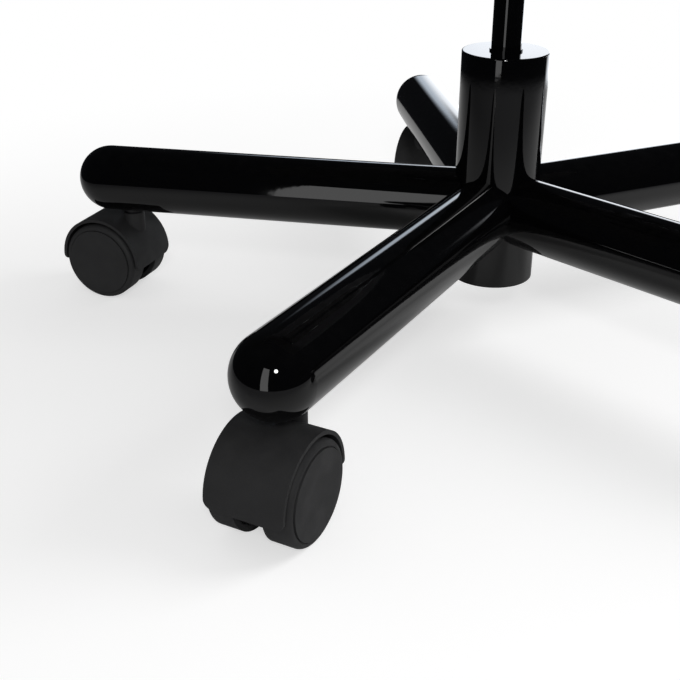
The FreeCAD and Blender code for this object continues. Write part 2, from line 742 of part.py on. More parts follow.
def make_tray():
    half = "tray_width / 2"
    outside = tray_form("tray_outside", "0", "tray_depth")
    inside = tray_form("tray_inside", "tray_wall", "tray_depth")
    tray = cut("tray_shell", outside, [inside])

    length = "seat_bolt_spacing + 2 * flange_width"
    parts = [tray]
    for side, left in (("left", f"-{half} - flange_width"), ("right", f"{half} - tray_wall")):
        parts.append(box(f"flange_{side}", "flange_width + tray_wall", length, "flange_thickness",
                         left, f"-({length}) / 2", FLANGE_BOTTOM))
    socket_height = "column_socket_drop + column_socket_rise"
    socket_bottom = f"{TRAY_BOTTOM} - column_socket_drop"
    socket_bore = f"{COLUMN_RADIUS} + fit_gap"
    parts.append(cylinder("column_socket", f"{socket_bore} + column_socket_wall", socket_height,
                          z=socket_bottom))
    lug_height = f"{LEVER_Z} + lever_pin_diameter / 2 + lever_lug_cover - {TRAY_BOTTOM} - tray_wall / 2"
    for side, start in (("front", f"-{LEVER_LUG_OUTSIDE}"), ("rear", LEVER_LUG_INSIDE)):
        parts.append(box(f"lever_lug_{side}", "lever_lug_width", "lever_lug_thickness", lug_height,
                         "lever_reach - lever_lug_width / 2", start, f"{TRAY_BOTTOM} + tray_wall / 2"))
    for side, start in (("left", f"-{EAR_OUTSIDE}"), ("right", EAR_INSIDE)):
        parts.append(box(f"back_ear_{side}", "ear_thickness", "back_pin_setback + tray_wall / 2",
                         "2 * ear_radius", start, "tray_rear - tray_wall / 2", f"{BACK_PIN_Z} - ear_radius"))
        parts.append(cylinder(f"back_ear_{side}_end", "ear_radius", "ear_thickness",
                              start, BACK_PIN_Y, BACK_PIN_Z, "X"))
    solid = fuse("tray_solid", parts)

    tools = [
        cylinder("tray_column_bore", socket_bore, "2 * tray_depth + column_length", z=COLUMN_BOTTOM),
        box("tray_lever_slot", "2 * tray_wall", "lever_slot_width", "lever_slot_height",
            f"{half} - 1.5 * tray_wall", "-lever_slot_width / 2", f"{FLANGE_BOTTOM} - lever_slot_height"),
        cylinder("tray_lever_pin_bore", "lever_pin_diameter / 2 + fit_gap", "tray_width",
                 "lever_reach", "-tray_width / 2", LEVER_Z, "Y"),
        bar("tray_back_pin_bore", "back_pin_diameter / 2 + fit_gap", "tray_width", BACK_PIN_Y, BACK_PIN_Z),
    ]
    tools += bolt_spots("tray_bolt_bore", "seat_bolt_diameter / 2 + fit_gap", TRAY_BOTTOM, "2 * tray_depth")
    piece(cut("tray_form", solid, tools), "mechanism_tray")


def bolt_spots(name, radius, low, height):
    """Four upright cylinders at the seat bolts."""
    spots = []
    for column in (-1, 1):
        for line in (-1, 1):
            spots.append(cylinder(f"{name}_{column + 1}{line + 1}", radius, height,
                                  f"{column} * {SEAT_BOLT_X}", f"{line} * seat_bolt_spacing / 2", low))
    return spots


def make_seat_bolts():
    shanks = bolt_spots("seat_bolt_shank", "seat_bolt_diameter / 2", FLANGE_BOTTOM,
                        "flange_thickness + pan_thickness - seat_gap")
    heads = bolt_spots("seat_bolt_head", "seat_bolt_head / 2", f"{FLANGE_BOTTOM} - seat_bolt_head_height",
                       "seat_bolt_head_height")
    bolts = doc.addObject("Part::Compound", "seat_bolt_group")
    pairs = zip(shanks, heads)
    bolts.Links = [fuse(f"seat_bolt_{number}", list(pair)) for number, pair in enumerate(pairs, start=1)]
    piece(bolts, "seat_bolts")


# Height lever with its pin and grip

LEVER_TURN = "rotation(vector(0; 1; 0); 90 + lever_droop)"


def make_lever():
    barrel = cylinder("lever_barrel", "lever_barrel_diameter / 2", "lever_barrel_width",
                      "lever_reach", "-lever_barrel_width / 2", LEVER_Z, "Y")
    tongue = box("lever_tongue", "lever_reach + lever_tongue_width / 2", "lever_tongue_width",
                 "lever_tongue_thickness", "-lever_tongue_width / 2", "-lever_tongue_width / 2",
                 f"{LEVER_Z} - lever_tongue_thickness / 2")
    rod = cylinder("lever_rod", "lever_rod_diameter / 2", "lever_length")
    place(rod, "lever_reach", "0", LEVER_Z, LEVER_TURN)
    bore = cylinder("lever_bore", "lever_pin_diameter / 2 + fit_gap", "2 * lever_barrel_width",
                    "lever_reach", "-lever_barrel_width", LEVER_Z, "Y")
    piece(cut("lever_form", fuse("lever_solid", [barrel, tongue, rod]), [bore]), "height_lever")
    pin = cylinder("lever_pin_rod", "lever_pin_diameter / 2", f"2 * {LEVER_LUG_OUTSIDE}",
                   "lever_reach", f"-{LEVER_LUG_OUTSIDE}", LEVER_Z, "Y")
    piece(pin, "lever_pin")

    hole = "lever_rod_diameter / 2 + fit_gap"
    wide = "lever_grip_diameter / 2"
    start = "lever_length - lever_grip_length"
    floor = "lever_length + seat_gap"
    end = f"{floor} + lever_grip_end"
    grip = turned_body("lever_grip", [
        (hole, start), (f"{hole} + lever_grip_wall", start), (wide, f"{start} + lever_grip_length / 2"),
        (wide, end), ("0", end), ("0", floor), (hole, floor)])
    tip = value(end)
    round_body(grip, "lever_grip_round", lambda middle, ends, length: near(middle.z, tip))
    place(grip, "lever_reach", "0", LEVER_Z, LEVER_TURN)
    piece(grip, "lever_grip")


# Seat pan and cushion

def make_seat():
    pan = plate_body("seat_pan_plate", "pan_width / 2", "pan_front", "pan_rear", TRAY_TOP, "pan_thickness",
                     "pan_corner")
    holes = new_sketch(pan, "XY_Plane", z=TRAY_TOP)
    for column in (-1, 1):
        for line in (-1, 1):
            circle(holes, "seat_bolt_diameter / 2 + fit_gap", f"{column} * {SEAT_BOLT_X}",
                   f"{line} * seat_bolt_spacing / 2")
            circle(holes, "arm_bolt_diameter / 2", f"{column} * (pan_width / 2 - arm_bolt_inset)",
                   f"{line} * arm_bolt_spacing / 2")
    pocket_through(pan, holes)
    half = value("pan_width / 2")
    low = value(TRAY_TOP)
    high = value(PAN_TOP)
    reach = value("pan_width / 2 - arm_bolt_inset / 2")

    def on_outside(middle, ends, length):
        level = near(middle.z, low) or near(middle.z, high)
        return level and (abs(middle.x) > reach or length > half / 4)

    round_body(pan, "pan_edge", on_outside)
    piece(pan, "seat_pan")

    half_width, front, rear, corner = (f"{size} + cushion_overhang" for size in
                                       ("pan_width / 2", "pan_front", "pan_rear", "pan_corner"))
    block = plate_body("seat_cushion_block", half_width, front, rear, CUSHION_BOTTOM, "2 * cushion_height",
                       corner)
    ball = doc.addObject("Part::Sphere", "seat_crown")
    bind(ball, Radius="cushion_crown_radius")
    place(ball, "0", "(pan_rear - pan_front) / 2", f"{CUSHION_TOP} - cushion_crown_radius")
    crowned = common("seat_crowned", block, ball)
    middle_height = value(f"{CUSHION_BOTTOM} + cushion_height / 4")
    bottom = value(CUSHION_BOTTOM)

    def not_upright(ends):
        return math.hypot(ends[0].x - ends[-1].x, ends[0].y - ends[-1].y) > 1

    shoulder = rounded("seat_shoulder", crowned, "cushion_shoulder", lambda middle, ends, length:
                       middle.z > middle_height and not_upright(ends))
    cushion = rounded("seat_soft", shoulder, "cushion_base_round", lambda middle, ends, length:
                      near(middle.z, bottom))
    piece(cushion, "seat_cushion")


# Reclining back: carrier on a rubber bush, bent upright tube and its plug

def make_back_carrier():
    pin = fuse("back_pin_form", [
        bar("back_pin_rod", "back_pin_diameter / 2", f"2 * ({EAR_OUTSIDE} + back_pin_head_width)",
            BACK_PIN_Y, BACK_PIN_Z)]
        + [cylinder(f"back_pin_head_{side}", "back_pin_head / 2", "back_pin_head_width - fit_gap",
                    start, BACK_PIN_Y, BACK_PIN_Z, "X")
           for side, start in (("left", f"-{EAR_OUTSIDE} - back_pin_head_width"),
                               ("right", f"{EAR_OUTSIDE} + fit_gap"))])
    piece(pin, "back_hinge_pin")

    bush_hole = "back_pin_diameter / 2 + fit_gap"
    bush_outside = f"{bush_hole} + bush_rubber_wall"
    rubber = cut("recline_bush_form",
                 bar("recline_bush_bar", bush_outside, "carrier_barrel_width", BACK_PIN_Y, BACK_PIN_Z),
                 [bar("recline_bush_hole", bush_hole, "tray_width", BACK_PIN_Y, BACK_PIN_Z)])
    piece(rubber, "recline_bush")

    bore = "upright_diameter / 2 + fit_gap"
    solid = fuse("carrier_solid", [
        bar("carrier_barrel", "carrier_barrel_diameter / 2", "carrier_barrel_width", BACK_PIN_Y, BACK_PIN_Z),
        cylinder("carrier_socket", f"{bore} + carrier_socket_wall", "carrier_socket_reach",
                 "0", BACK_PIN_Y, BACK_PIN_Z, "Y")])
    carrier = cut("carrier_form", solid, [
        bar("carrier_bush_bore", f"{bush_outside} + fit_gap", "tray_width", BACK_PIN_Y, BACK_PIN_Z),
        cylinder("carrier_tube_bore", bore, "carrier_socket_reach",
                 "0", f"{BACK_PIN_Y} + carrier_socket_floor", BACK_PIN_Z, "Y")])
    piece(carrier, "back_carrier")


def make_upright():
    tube = new_body("upright_tube")
    spine = new_sketch(tube, "YZ_Plane")
    end_y = f"{BEND_END_Y} + upright_length * sin(upright_lean)"
    end_z = f"{BEND_END_Z} + upright_length * cos(upright_lean)"
    start = FreeCAD.Vector(value(UPRIGHT_START), value(BACK_PIN_Z), 0)
    bend = FreeCAD.Vector(value(BEND_START), value(BACK_PIN_Z), 0)
    rise = FreeCAD.Vector(value(BEND_END_Y), value(BEND_END_Z), 0)
    end = FreeCAD.Vector(value(end_y), value(end_z), 0)
    centre = FreeCAD.Vector(value(BEND_START), value(f"{BACK_PIN_Z} + upright_bend"), 0)
    ring = Part.Circle(centre, FreeCAD.Vector(0, 0, 1), value("upright_bend"))
    spine.addGeometry(Part.LineSegment(start, bend))
    spine.addGeometry(Part.ArcOfCircle(ring, -math.pi / 2, -math.radians(value("upright_lean"))))
    spine.addGeometry(Part.LineSegment(rise, end))
    spine.addConstraint(Sketcher.Constraint("Tangent", 0, 2, 1, 1))
    spine.addConstraint(Sketcher.Constraint("Tangent", 1, 2, 2, 1))
    pin_point(spine, 0, 1, UPRIGHT_START, BACK_PIN_Z)
    pin_point(spine, 0, 2, BEND_START, BACK_PIN_Z)
    pin_point(spine, 2, 2, end_y, end_z)
    ring_sketch = new_sketch(tube, "XZ_Plane", y=BACK_PIN_Z, z=f"-{UPRIGHT_START}")
    circle(ring_sketch, "upright_diameter / 2")
    circle(ring_sketch, "upright_diameter / 2 - upright_wall")
    pipe = tube.newObject("PartDesign::AdditivePipe", "upright_pipe")
    pipe.Profile = ring_sketch
    pipe.Spine = (spine, [])
    tube.Tip = pipe
    piece(tube, "back_upright")

    inside = "upright_diameter / 2 - upright_wall - fit_gap"
    outside = "upright_diameter / 2"
    plug = new_body("upright_plug")
    sketch = new_sketch(plug, "XZ_Plane")
    outline(sketch, [("0", "-plug_depth"), (inside, "-plug_depth"), (inside, "0"), (outside, "0"),
                     (outside, "fit_gap"), (inside, "fit_gap + upright_wall + fit_gap"),
                     ("0", "upright_diameter / 3")])
    revolve(plug, sketch)
    place(plug, "0", end_y, end_z, "rotation(vector(1; 0; 0); -upright_lean)")
    piece(plug, "upright_plug")


# Back slider with its pivot lug, clamp knob, bracket, shell and pad

def on_upright(item, forward="0"):
    """Put an item at the slider, a distance in front of the upright's axis."""
    place(item, "0", f"{SLIDER_Y} - ({forward}) * cos(upright_lean)",
          f"{SLIDER_Z} + ({forward}) * sin(upright_lean)", "rotation(vector(1; 0; 0); -upright_lean)")


def make_slider():
    bore = "upright_diameter / 2 + fit_gap"
    outside = f"{bore} + slider_wall"
    sleeve = cylinder("slider_sleeve", outside, "slider_length", z="-slider_length / 2")
    edge = value("slider_length / 2")
    soft = rounded("slider_soft", sleeve, "slider_edge",
                   lambda middle, ends, length: near(abs(middle.z), edge))
    web_width = "pivot_barrel_width - 2 * bracket_ear"
    solid = fuse("slider_solid", [
        soft,
        bar("slider_barrel", "pivot_barrel_diameter / 2", "pivot_barrel_width", "-pivot_offset", "0"),
        box("slider_web", web_width, "pivot_offset", "pivot_barrel_diameter",
            f"-({web_width}) / 2", "-pivot_offset", "-pivot_barrel_diameter / 2"),
        cylinder("slider_boss", "knob_boss_diameter / 2", f"{outside} + knob_boss_rise", axis="Y")])
    slider = cut("slider_form", solid, [
        cylinder("slider_bore", bore, "2 * slider_length", z="-slider_length"),
        bar("slider_pivot_bore", "pivot_pin_diameter / 2 + fit_gap", "bracket_width", "-pivot_offset", "0"),
        cylinder("slider_stud_bore", "knob_stud_diameter / 2 + fit_gap", "2 * pivot_offset", axis="Y")])
    on_upright(slider)
    piece(slider, "back_slider")

    tip = "upright_diameter / 2 + knob_tip_gap"
    seat = f"{outside} + knob_boss_rise + seat_gap"
    stud_length = f"{seat} - ({tip}) + knob_height / 2"
    handle = cylinder("knob_handle", "knob_diameter / 2", "knob_height", y=seat, axis="Y")
    scallops = []
    for number in range(KNOB_LOBES):
        angle = 360 / KNOB_LOBES * number
        middle = "(knob_diameter / 2 + knob_scallop / 2)"
        scallops.append(cylinder(f"knob_scallop_{number}", "knob_scallop", "2 * knob_height",
                                 f"{middle} * cos({angle})", f"{seat} - knob_height / 2",
                                 f"{middle} * sin({angle})", "Y"))
    lobed = cut("knob_lobed", handle, scallops)
    stud = cylinder("knob_stud", "knob_stud_diameter / 2", stud_length, y=tip, axis="Y")
    knob = fuse("knob_form", [lobed, stud])
    on_upright(knob)
    piece(knob, "back_clamp_knob")


def make_bracket():
    ear_inside = "pivot_barrel_width / 2 + pivot_side_gap"
    ear_outside = f"{ear_inside} + bracket_ear"
    parts = [box("bracket_plate_block", "bracket_width", "bracket_plate", "bracket_height",
                 "-bracket_width / 2", f"-{PLATE_FRONT}", "-bracket_height / 2")]
    for side, start in (("left", f"-({ear_outside})"), ("right", ear_inside)):
        parts.append(cylinder(f"bracket_ear_{side}", "bracket_radius", "bracket_ear",
                              start, "-pivot_offset", "0", "X"))
        parts.append(box(f"bracket_stand_{side}", "bracket_ear", "bracket_stand", "2 * bracket_radius",
                         start, f"-{PLATE_BACK}", "-bracket_radius"))
    solid = fuse("bracket_solid", parts)
    bore = bar("bracket_pin_bore", "pivot_pin_diameter / 2 + fit_gap", "bracket_width", "-pivot_offset", "0")
    holes = screw_spots("bracket_screw_bore", "back_screw_diameter / 2 + fit_gap",
                        f"-{PLATE_FRONT} - bracket_plate", "3 * bracket_plate")
    bracket = cut("bracket_form", solid, [bore] + holes)
    on_upright(bracket)
    piece(bracket, "back_bracket")

    pin = fuse("pivot_pin_form", [
        bar("pivot_pin_rod", "pivot_pin_diameter / 2", f"2 * ({ear_outside} + pivot_pin_head_width)",
            "-pivot_offset", "0")]
        + [cylinder(f"pivot_pin_head_{side}", "pivot_pin_head / 2", "pivot_pin_head_width - fit_gap",
                    start, "-pivot_offset", "0", "X")
           for side, start in (("left", f"-({ear_outside}) - pivot_pin_head_width"),
                               ("right", f"{ear_outside} + fit_gap"))])
    on_upright(pin)
    piece(pin, "back_pivot_pin")

    shanks = screw_spots("back_screw_shank", "back_screw_diameter / 2",
                         f"-{PLATE_FRONT} - back_screw_depth", "back_screw_depth + bracket_plate")
    heads = screw_spots("back_screw_head", "back_screw_head / 2", f"-{PLATE_BACK}", "back_screw_head_height")
    screws = doc.addObject("Part::Compound", "back_screw_group")
    pairs = zip(shanks, heads)
    screws.Links = [fuse(f"back_screw_{number}", list(pair)) for number, pair in enumerate(pairs, start=1)]
    on_upright(screws)
    piece(screws, "back_screws")


def screw_spots(name, radius, start, length):
    """Four cylinders through the corners of the bracket's plate, along Y."""
    spots = []
    for column in (-1, 1):
        for line in (-1, 1):
            spots.append(cylinder(f"{name}_{column + 1}{line + 1}", radius, length,
                                  f"{column} * (bracket_width / 2 - back_screw_inset)", start,
                                  f"{line} * (bracket_height / 2 - back_screw_inset)", "Y"))
    return spots


def wrapped_band(name, near_side, far_side, height):
    """Band bent round the sitter and bulged at the loin, between two distances from the wrap axis."""
    body = new_body(name)
    sketch = new_sketch(body, "YZ_Plane")
    spread = math.asin(value(f"({height}) / 2 / lumbar_radius"))
    for arc, side in enumerate((near_side, far_side)):
        centre = f"{side} + lumbar_radius"
        middle = FreeCAD.Vector(value(centre), 0, 0)
        ring = Part.Circle(middle, FreeCAD.Vector(0, 0, 1), value("lumbar_radius"))
        sketch.addGeometry(Part.ArcOfCircle(ring, math.pi - spread, math.pi + spread))
        number = sketch.addConstraint(Sketcher.Constraint("Radius", arc, value("lumbar_radius")))
        sketch.setExpression(f"Constraints[{number}]", bound("lumbar_radius"))
        pin_point(sketch, arc, 3, centre, "0")
        for end, half in ((1, f"({height}) / 2"), (2, f"-({height}) / 2")):
            number = sketch.addConstraint(Sketcher.Constraint("DistanceY", -1, 1, arc, end, value(half)))
            sketch.setExpression(f"Constraints[{number}]", bound(half))
    for end in (1, 2):
        corners = [sketch.getPoint(arc, end) for arc in (0, 1)]
        line = sketch.addGeometry(Part.LineSegment(*corners))
        sketch.addConstraint(Sketcher.Constraint("Coincident", line, 1, 0, end))
        sketch.addConstraint(Sketcher.Constraint("Coincident", line, 2, 1, end))
    turn = body.newObject("PartDesign::Revolution", name + "_turn")
    turn.Profile = sketch
    turn.ReferenceAxis = (sketch, ["V_Axis"])
    turn.Angle = 90
    turn.Midplane = True
    body.Tip = turn
    return body


def back_outline(name, shrink):
    """Block with the back's rounded outline, through its whole depth."""
    body = new_body(name)
    sketch = new_sketch(body, "XZ_Plane")
    half_width = f"shell_width / 2 - ({shrink})"
    half_height = f"shell_height / 2 - ({shrink})"
    rectangle(sketch, f"-({half_width})", half_width, f"-({half_height})", half_height)
    item = pad(body, sketch, "2 * wrap_radius")
    item.Reversed = True
    depth = value("2 * wrap_radius")
    round_body(body, f"shell_corner - ({shrink})", lambda middle, ends, length: near(length, depth))
    return body


def make_back():
    shell_front = "wrap_radius - shell_thickness"
    tall = "2 * shell_height"
    sheet_form = common("shell_sheet", wrapped_band("shell_band", shell_front, "wrap_radius", tall),
                        back_outline("shell_outline", "0"))
    boss = box("shell_boss_block", "bracket_width", "shell_boss + shell_thickness / 2", "bracket_height",
               "-bracket_width / 2", "wrap_radius - shell_thickness / 2", "-bracket_height / 2")
    holes = screw_spots("shell_screw_bore", "back_screw_diameter / 2 + fit_gap",
                        "wrap_radius + shell_boss - back_screw_depth - seat_gap", "2 * back_screw_depth")
    shell = cut("shell_form", fuse("shell_solid", [sheet_form, boss]), holes)
    on_upright(shell, WRAP_AXIS)
    piece(shell, "back_shell")

    pad_back = f"{shell_front} - seat_gap"
    pad_front = f"{pad_back} - pad_thickness"
    block = common("back_pad_block", wrapped_band("back_pad_band", pad_front, pad_back, tall),
                   back_outline("back_pad_outline", "-cushion_overhang / 2"))
    half_way = value(f"{pad_front} + pad_thickness / 2")
    lumbar = value("lumbar_radius")
    short = value("1.4 * pad_thickness")

    def on_front(middle, ends, length):
        """On the rim of the front face, neither running through the pad nor at its middle."""
        bow = lumbar - math.sqrt(lumbar ** 2 - middle.z ** 2)
        in_front = math.hypot(middle.x, middle.y) < half_way + bow
        off_middle = abs(middle.x) + abs(middle.z) > 1
        return in_front and off_middle and math.dist(ends[0], ends[-1]) > short

    shoulder = rounded("back_pad_shoulder", block, "pad_shoulder", on_front)
    on_upright(shoulder, WRAP_AXIS)
    piece(shoulder, "back_pad")


make_hub()
for leg in range(LEG_COUNT):
    make_leg(leg)
make_casters()
make_column()
make_tray()
make_seat_bolts()
make_lever()
make_seat()
make_back_carrier()
make_upright()
make_slider()
make_bracket()
make_back()
doc.recompute()

# Check everything, then write one file for each piece
failed = [item.Label for item in doc.Objects if "Invalid" in item.State or "Error" in item.State]
if failed:
    raise RuntimeError("did not compute: " + ", ".join(failed))
os.makedirs("parts", exist_ok=True)
for item in pieces:
    if item.Shape.isNull() or not item.Shape.isValid():
        raise RuntimeError(f"{item.Label} has no valid shape")
    item.Shape.exportStep(f"parts/{item.Label}.step")
    print(item.Label, len(item.Shape.Solids), "solids", round(item.Shape.Volume), "mm3")
print(len(pieces), "pieces")
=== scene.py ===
# %% [markdown]
# # An office chair, dressed
# The solids of the chair come from its construction: star base, casters, lift column, mechanism, seat and
# back. This lesson gives them their looks. Hard pieces keep their solid and get a finish. The two
# cushions are sewn and stuffed on the real chair, so they are made again here as cloth blown up from
# inside.

import json
import math

import bmesh
import bpy
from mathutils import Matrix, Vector
from mathutils.bvhtree import BVHTree
from mathutils.kdtree import KDTree


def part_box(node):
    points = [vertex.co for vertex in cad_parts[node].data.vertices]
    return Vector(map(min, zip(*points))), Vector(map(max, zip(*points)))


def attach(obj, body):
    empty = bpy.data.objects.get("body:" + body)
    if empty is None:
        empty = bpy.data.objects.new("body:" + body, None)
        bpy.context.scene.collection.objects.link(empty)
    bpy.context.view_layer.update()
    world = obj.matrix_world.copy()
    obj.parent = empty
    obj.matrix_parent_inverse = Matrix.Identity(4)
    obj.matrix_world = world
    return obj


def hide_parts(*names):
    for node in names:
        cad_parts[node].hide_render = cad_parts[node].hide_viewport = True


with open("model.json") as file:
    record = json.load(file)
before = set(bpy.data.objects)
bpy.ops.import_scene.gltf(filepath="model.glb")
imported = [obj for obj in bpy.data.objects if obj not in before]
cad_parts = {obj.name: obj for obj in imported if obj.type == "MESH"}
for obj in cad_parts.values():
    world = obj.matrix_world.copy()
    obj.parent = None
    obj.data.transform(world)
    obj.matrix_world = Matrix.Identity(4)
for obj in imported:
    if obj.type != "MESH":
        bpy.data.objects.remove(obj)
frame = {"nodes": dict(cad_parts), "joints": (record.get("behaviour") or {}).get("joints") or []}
nodes = frame["nodes"]
scene = bpy.context.scene
scene.view_settings.view_transform = "Standard"
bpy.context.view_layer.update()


def add_object(name, data):
    made = bpy.data.objects.new(name, data)
    scene.collection.objects.link(made)
    return made


# %% [markdown]
# ## The camera
# The photograph looks down on the base from the front and a little from the right. A camera is placed by
# the point it stands on and the point it aims at, which is easier to read than three turning angles.

# %% Place the camera
CAMERA_PLACE = Vector((0.2591, -0.6869, 0.3528))
CAMERA_AIM = Vector((0.0093, -0.2455, 0.0930))
CAMERA_LENS = 55.67
CAMERA_NEAR = 0.01

camera_data = bpy.data.cameras.new("photo_camera")
camera_data.lens = CAMERA_LENS
camera_data.clip_start = CAMERA_NEAR
camera = add_object("photo_camera", camera_data)
camera.location = CAMERA_PLACE
camera.rotation_mode = "QUATERNION"
camera.rotation_quaternion = (CAMERA_AIM - CAMERA_PLACE).to_track_quat("-Z", "Y")
scene.camera = camera
print("camera stands", round((CAMERA_AIM - CAMERA_PLACE).length, 3), "m from its aim")

# %% [markdown]
# ## A short way to write shader nodes
# Every finish below is a small tree of nodes. A few helpers keep the trees readable. The first adds a
# node with its settings and inputs in one call. The others do a sum, a ramp or a mix, and start a group
# or a material.


# %% Helpers for shader trees
def add_node(tree, kind, values=None, **settings):
    made = tree.nodes.new(kind)
    for name, setting in settings.items():
        setattr(made, name, setting)
    for socket, value in (values or {}).items():
        if isinstance(value, bpy.types.NodeSocket):
            tree.links.new(value, made.inputs[socket])
        else:
            made.inputs[socket].default_value = value
    return made


def calculate(tree, operation, first, second=0.0):
    return add_node(tree, "ShaderNodeMath", {0: first, 1: second}, operation=operation).outputs[0]


def ramp_between(tree, value, start, end, low=0.0, high=1.0):
    values = {"Value": value, "From Min": start, "From Max": end, "To Min": low, "To Max": high}
    return add_node(tree, "ShaderNodeMapRange", values, interpolation_type="SMOOTHSTEP").outputs[0]


def mix_colours(tree, share, first, second):
    values = {0: share, 6: first, 7: second}
    return add_node(tree, "ShaderNodeMix", values, data_type="RGBA").outputs[2]


def new_group(name, inputs, outputs):
    tree = bpy.data.node_groups.new(name, "ShaderNodeTree")
    for label, start in inputs.items():
        socket = tree.interface.new_socket(label, in_out="INPUT", socket_type="NodeSocketFloat")
        socket.default_value = start
    for label in outputs:
        tree.interface.new_socket(label, in_out="OUTPUT", socket_type="NodeSocketFloat")
    return tree, tree.nodes.new("NodeGroupInput").outputs, tree.nodes.new("NodeGroupOutput").inputs


def new_finish(name):
    finish = bpy.data.materials.new(name)
    finish.use_nodes = True
    return finish, finish.node_tree, finish.node_tree.nodes["Principled BSDF"]


def use_group(tree, group, **values):
    return add_node(tree, "ShaderNodeGroup", values, node_tree=group).outputs


def bump_from(tree, shader, height, depth):
    bump = add_node(tree, "ShaderNodeBump", {"Height": height, "Distance": depth})
    tree.links.new(bump.outputs[0], shader.inputs["Normal"])


def set_inputs(shader, **values):
    for label, value in values.items():
        shader.inputs[label.replace("_", " ")].default_value = value


print("shader helpers are ready")

# %% [markdown]
# ## The floor
# The photograph has a white sheet that fades into white behind the chair. The floor is white to the
# camera and keeps a share of real shading near the chair, so the soft shadows stay. What the glossy tubes
# mirror is another matter: there the sheet is a round pool of painted light, brightest behind the hub,
# that ends not far from the casters. Its colour fades from bright to dim away from behind the hub, a
# painted fall-off of light. Beyond it mirrored rays pass through, because the photograph's tubes show the
# room down to that edge.

# %% Make the floor
FLOOR_RADIUS = 9.0
FLOOR_SIDES = 96
POOL_RADIUS = 0.80
POOL_EDGE = 0.06
POOL_BRIGHT = (0.82, 0.82, 0.82, 1)
POOL_DIM = (0.32, 0.32, 0.33, 1)
DIM_CENTRE = (-0.10, 0.25, 0)
DIM_START = 0.42
DIM_END = 0.85
FADE_START = 0.30
FADE_END = 0.80
FLOOR_GLOW = 0.56
FLOOR_SHADE = 0.62


def floor_distance(tree, centre=(0, 0, 0)):
    place = add_node(tree, "ShaderNodeTexCoord").outputs["Object"]
    away = add_node(tree, "ShaderNodeVectorMath", {0: place, 1: centre}, operation="DISTANCE")
    return away.outputs["Value"]


def make_floor():
    mesh = bpy.data.meshes.new("floor")
    shape = bmesh.new()
    bmesh.ops.create_circle(shape, cap_ends=True, segments=FLOOR_SIDES, radius=FLOOR_RADIUS)
    shape.to_mesh(mesh)
    shape.free()
    floor = add_object("floor", mesh)
    paint = bpy.data.materials.new("floor_sheet")
    paint.use_nodes = True
    tree = paint.node_tree
    tree.nodes.clear()
    far = floor_distance(tree)
    white = add_node(tree, "ShaderNodeEmission", {"Strength": 1.0}).outputs[0]
    glow = add_node(tree, "ShaderNodeEmission", {"Strength": FLOOR_GLOW}).outputs[0]
    shade_colour = (FLOOR_SHADE, FLOOR_SHADE, FLOOR_SHADE, 1)
    shade = add_node(tree, "ShaderNodeBsdfDiffuse", {"Color": shade_colour}).outputs[0]
    near = add_node(tree, "ShaderNodeAddShader", {0: glow, 1: shade}).outputs[0]
    fade = ramp_between(tree, far, FADE_START, FADE_END)
    seen = add_node(tree, "ShaderNodeMixShader", {0: fade, 1: near, 2: white}).outputs[0]
    # Painted light: the pool's colour fades from bright to dim away from DIM_CENTRE, a painted fall-off of
    # light on the sheet.
    painted_falloff = ramp_between(tree, floor_distance(tree, DIM_CENTRE), DIM_START, DIM_END)
    painted_pool_light = mix_colours(tree, painted_falloff, POOL_BRIGHT, POOL_DIM)
    pool = add_node(tree, "ShaderNodeBsdfDiffuse", {"Color": painted_pool_light}).outputs[0]
    beyond = ramp_between(tree, far, POOL_RADIUS - POOL_EDGE, POOL_RADIUS + POOL_EDGE)
    clear = add_node(tree, "ShaderNodeBsdfTransparent").outputs[0]
    sheet = add_node(tree, "ShaderNodeMixShader", {0: beyond, 1: pool, 2: clear}).outputs[0]
    path = add_node(tree, "ShaderNodeLightPath")
    whole = add_node(tree, "ShaderNodeMixShader", {0: path.outputs["Is Camera Ray"], 1: sheet, 2: seen})
    add_node(tree, "ShaderNodeOutputMaterial", {"Surface": whole.outputs[0]})
    mesh.materials.append(paint)
    return floor


floor = make_floor()
print(floor.name, "is", FLOOR_RADIUS, "m in radius")

# %% [markdown]
# ## The mirrored room
# Black gloss shows mostly what stands round it. A picture of a studio could be mirrored, but a few named
# angles are easier to adjust. The room is dark at the sides, and behind the chair stands a bright window
# that draws the white edges along the tubes. Its left end is bluer, taller and slanted.

# %% Make the world
SKY_LIGHT = 0.36
WINDOW_WHITE = (2.60, 2.70, 2.85, 1)
WINDOW_BLUE = (1.60, 1.80, 2.05, 1)
WINDOW_LEFT_LOW = math.radians(23)
WINDOW_LEFT_HIGH = math.radians(34)
WINDOW_RIGHT = math.radians(25)
WINDOW_SIDE = math.radians(4)
SLANT_START = 0.10
SLANT_END = 0.24
BLUE_START = math.radians(20)
BLUE_END = math.radians(30)
WINDOW_TOP = 0.235
BLUE_TOP = 0.33
WINDOW_FOOT = -0.35
WINDOW_EDGE = 0.03
DARK_ROOM = (0.012, 0.013, 0.015, 1)
BACKGROUND = (1, 1, 1, 1)


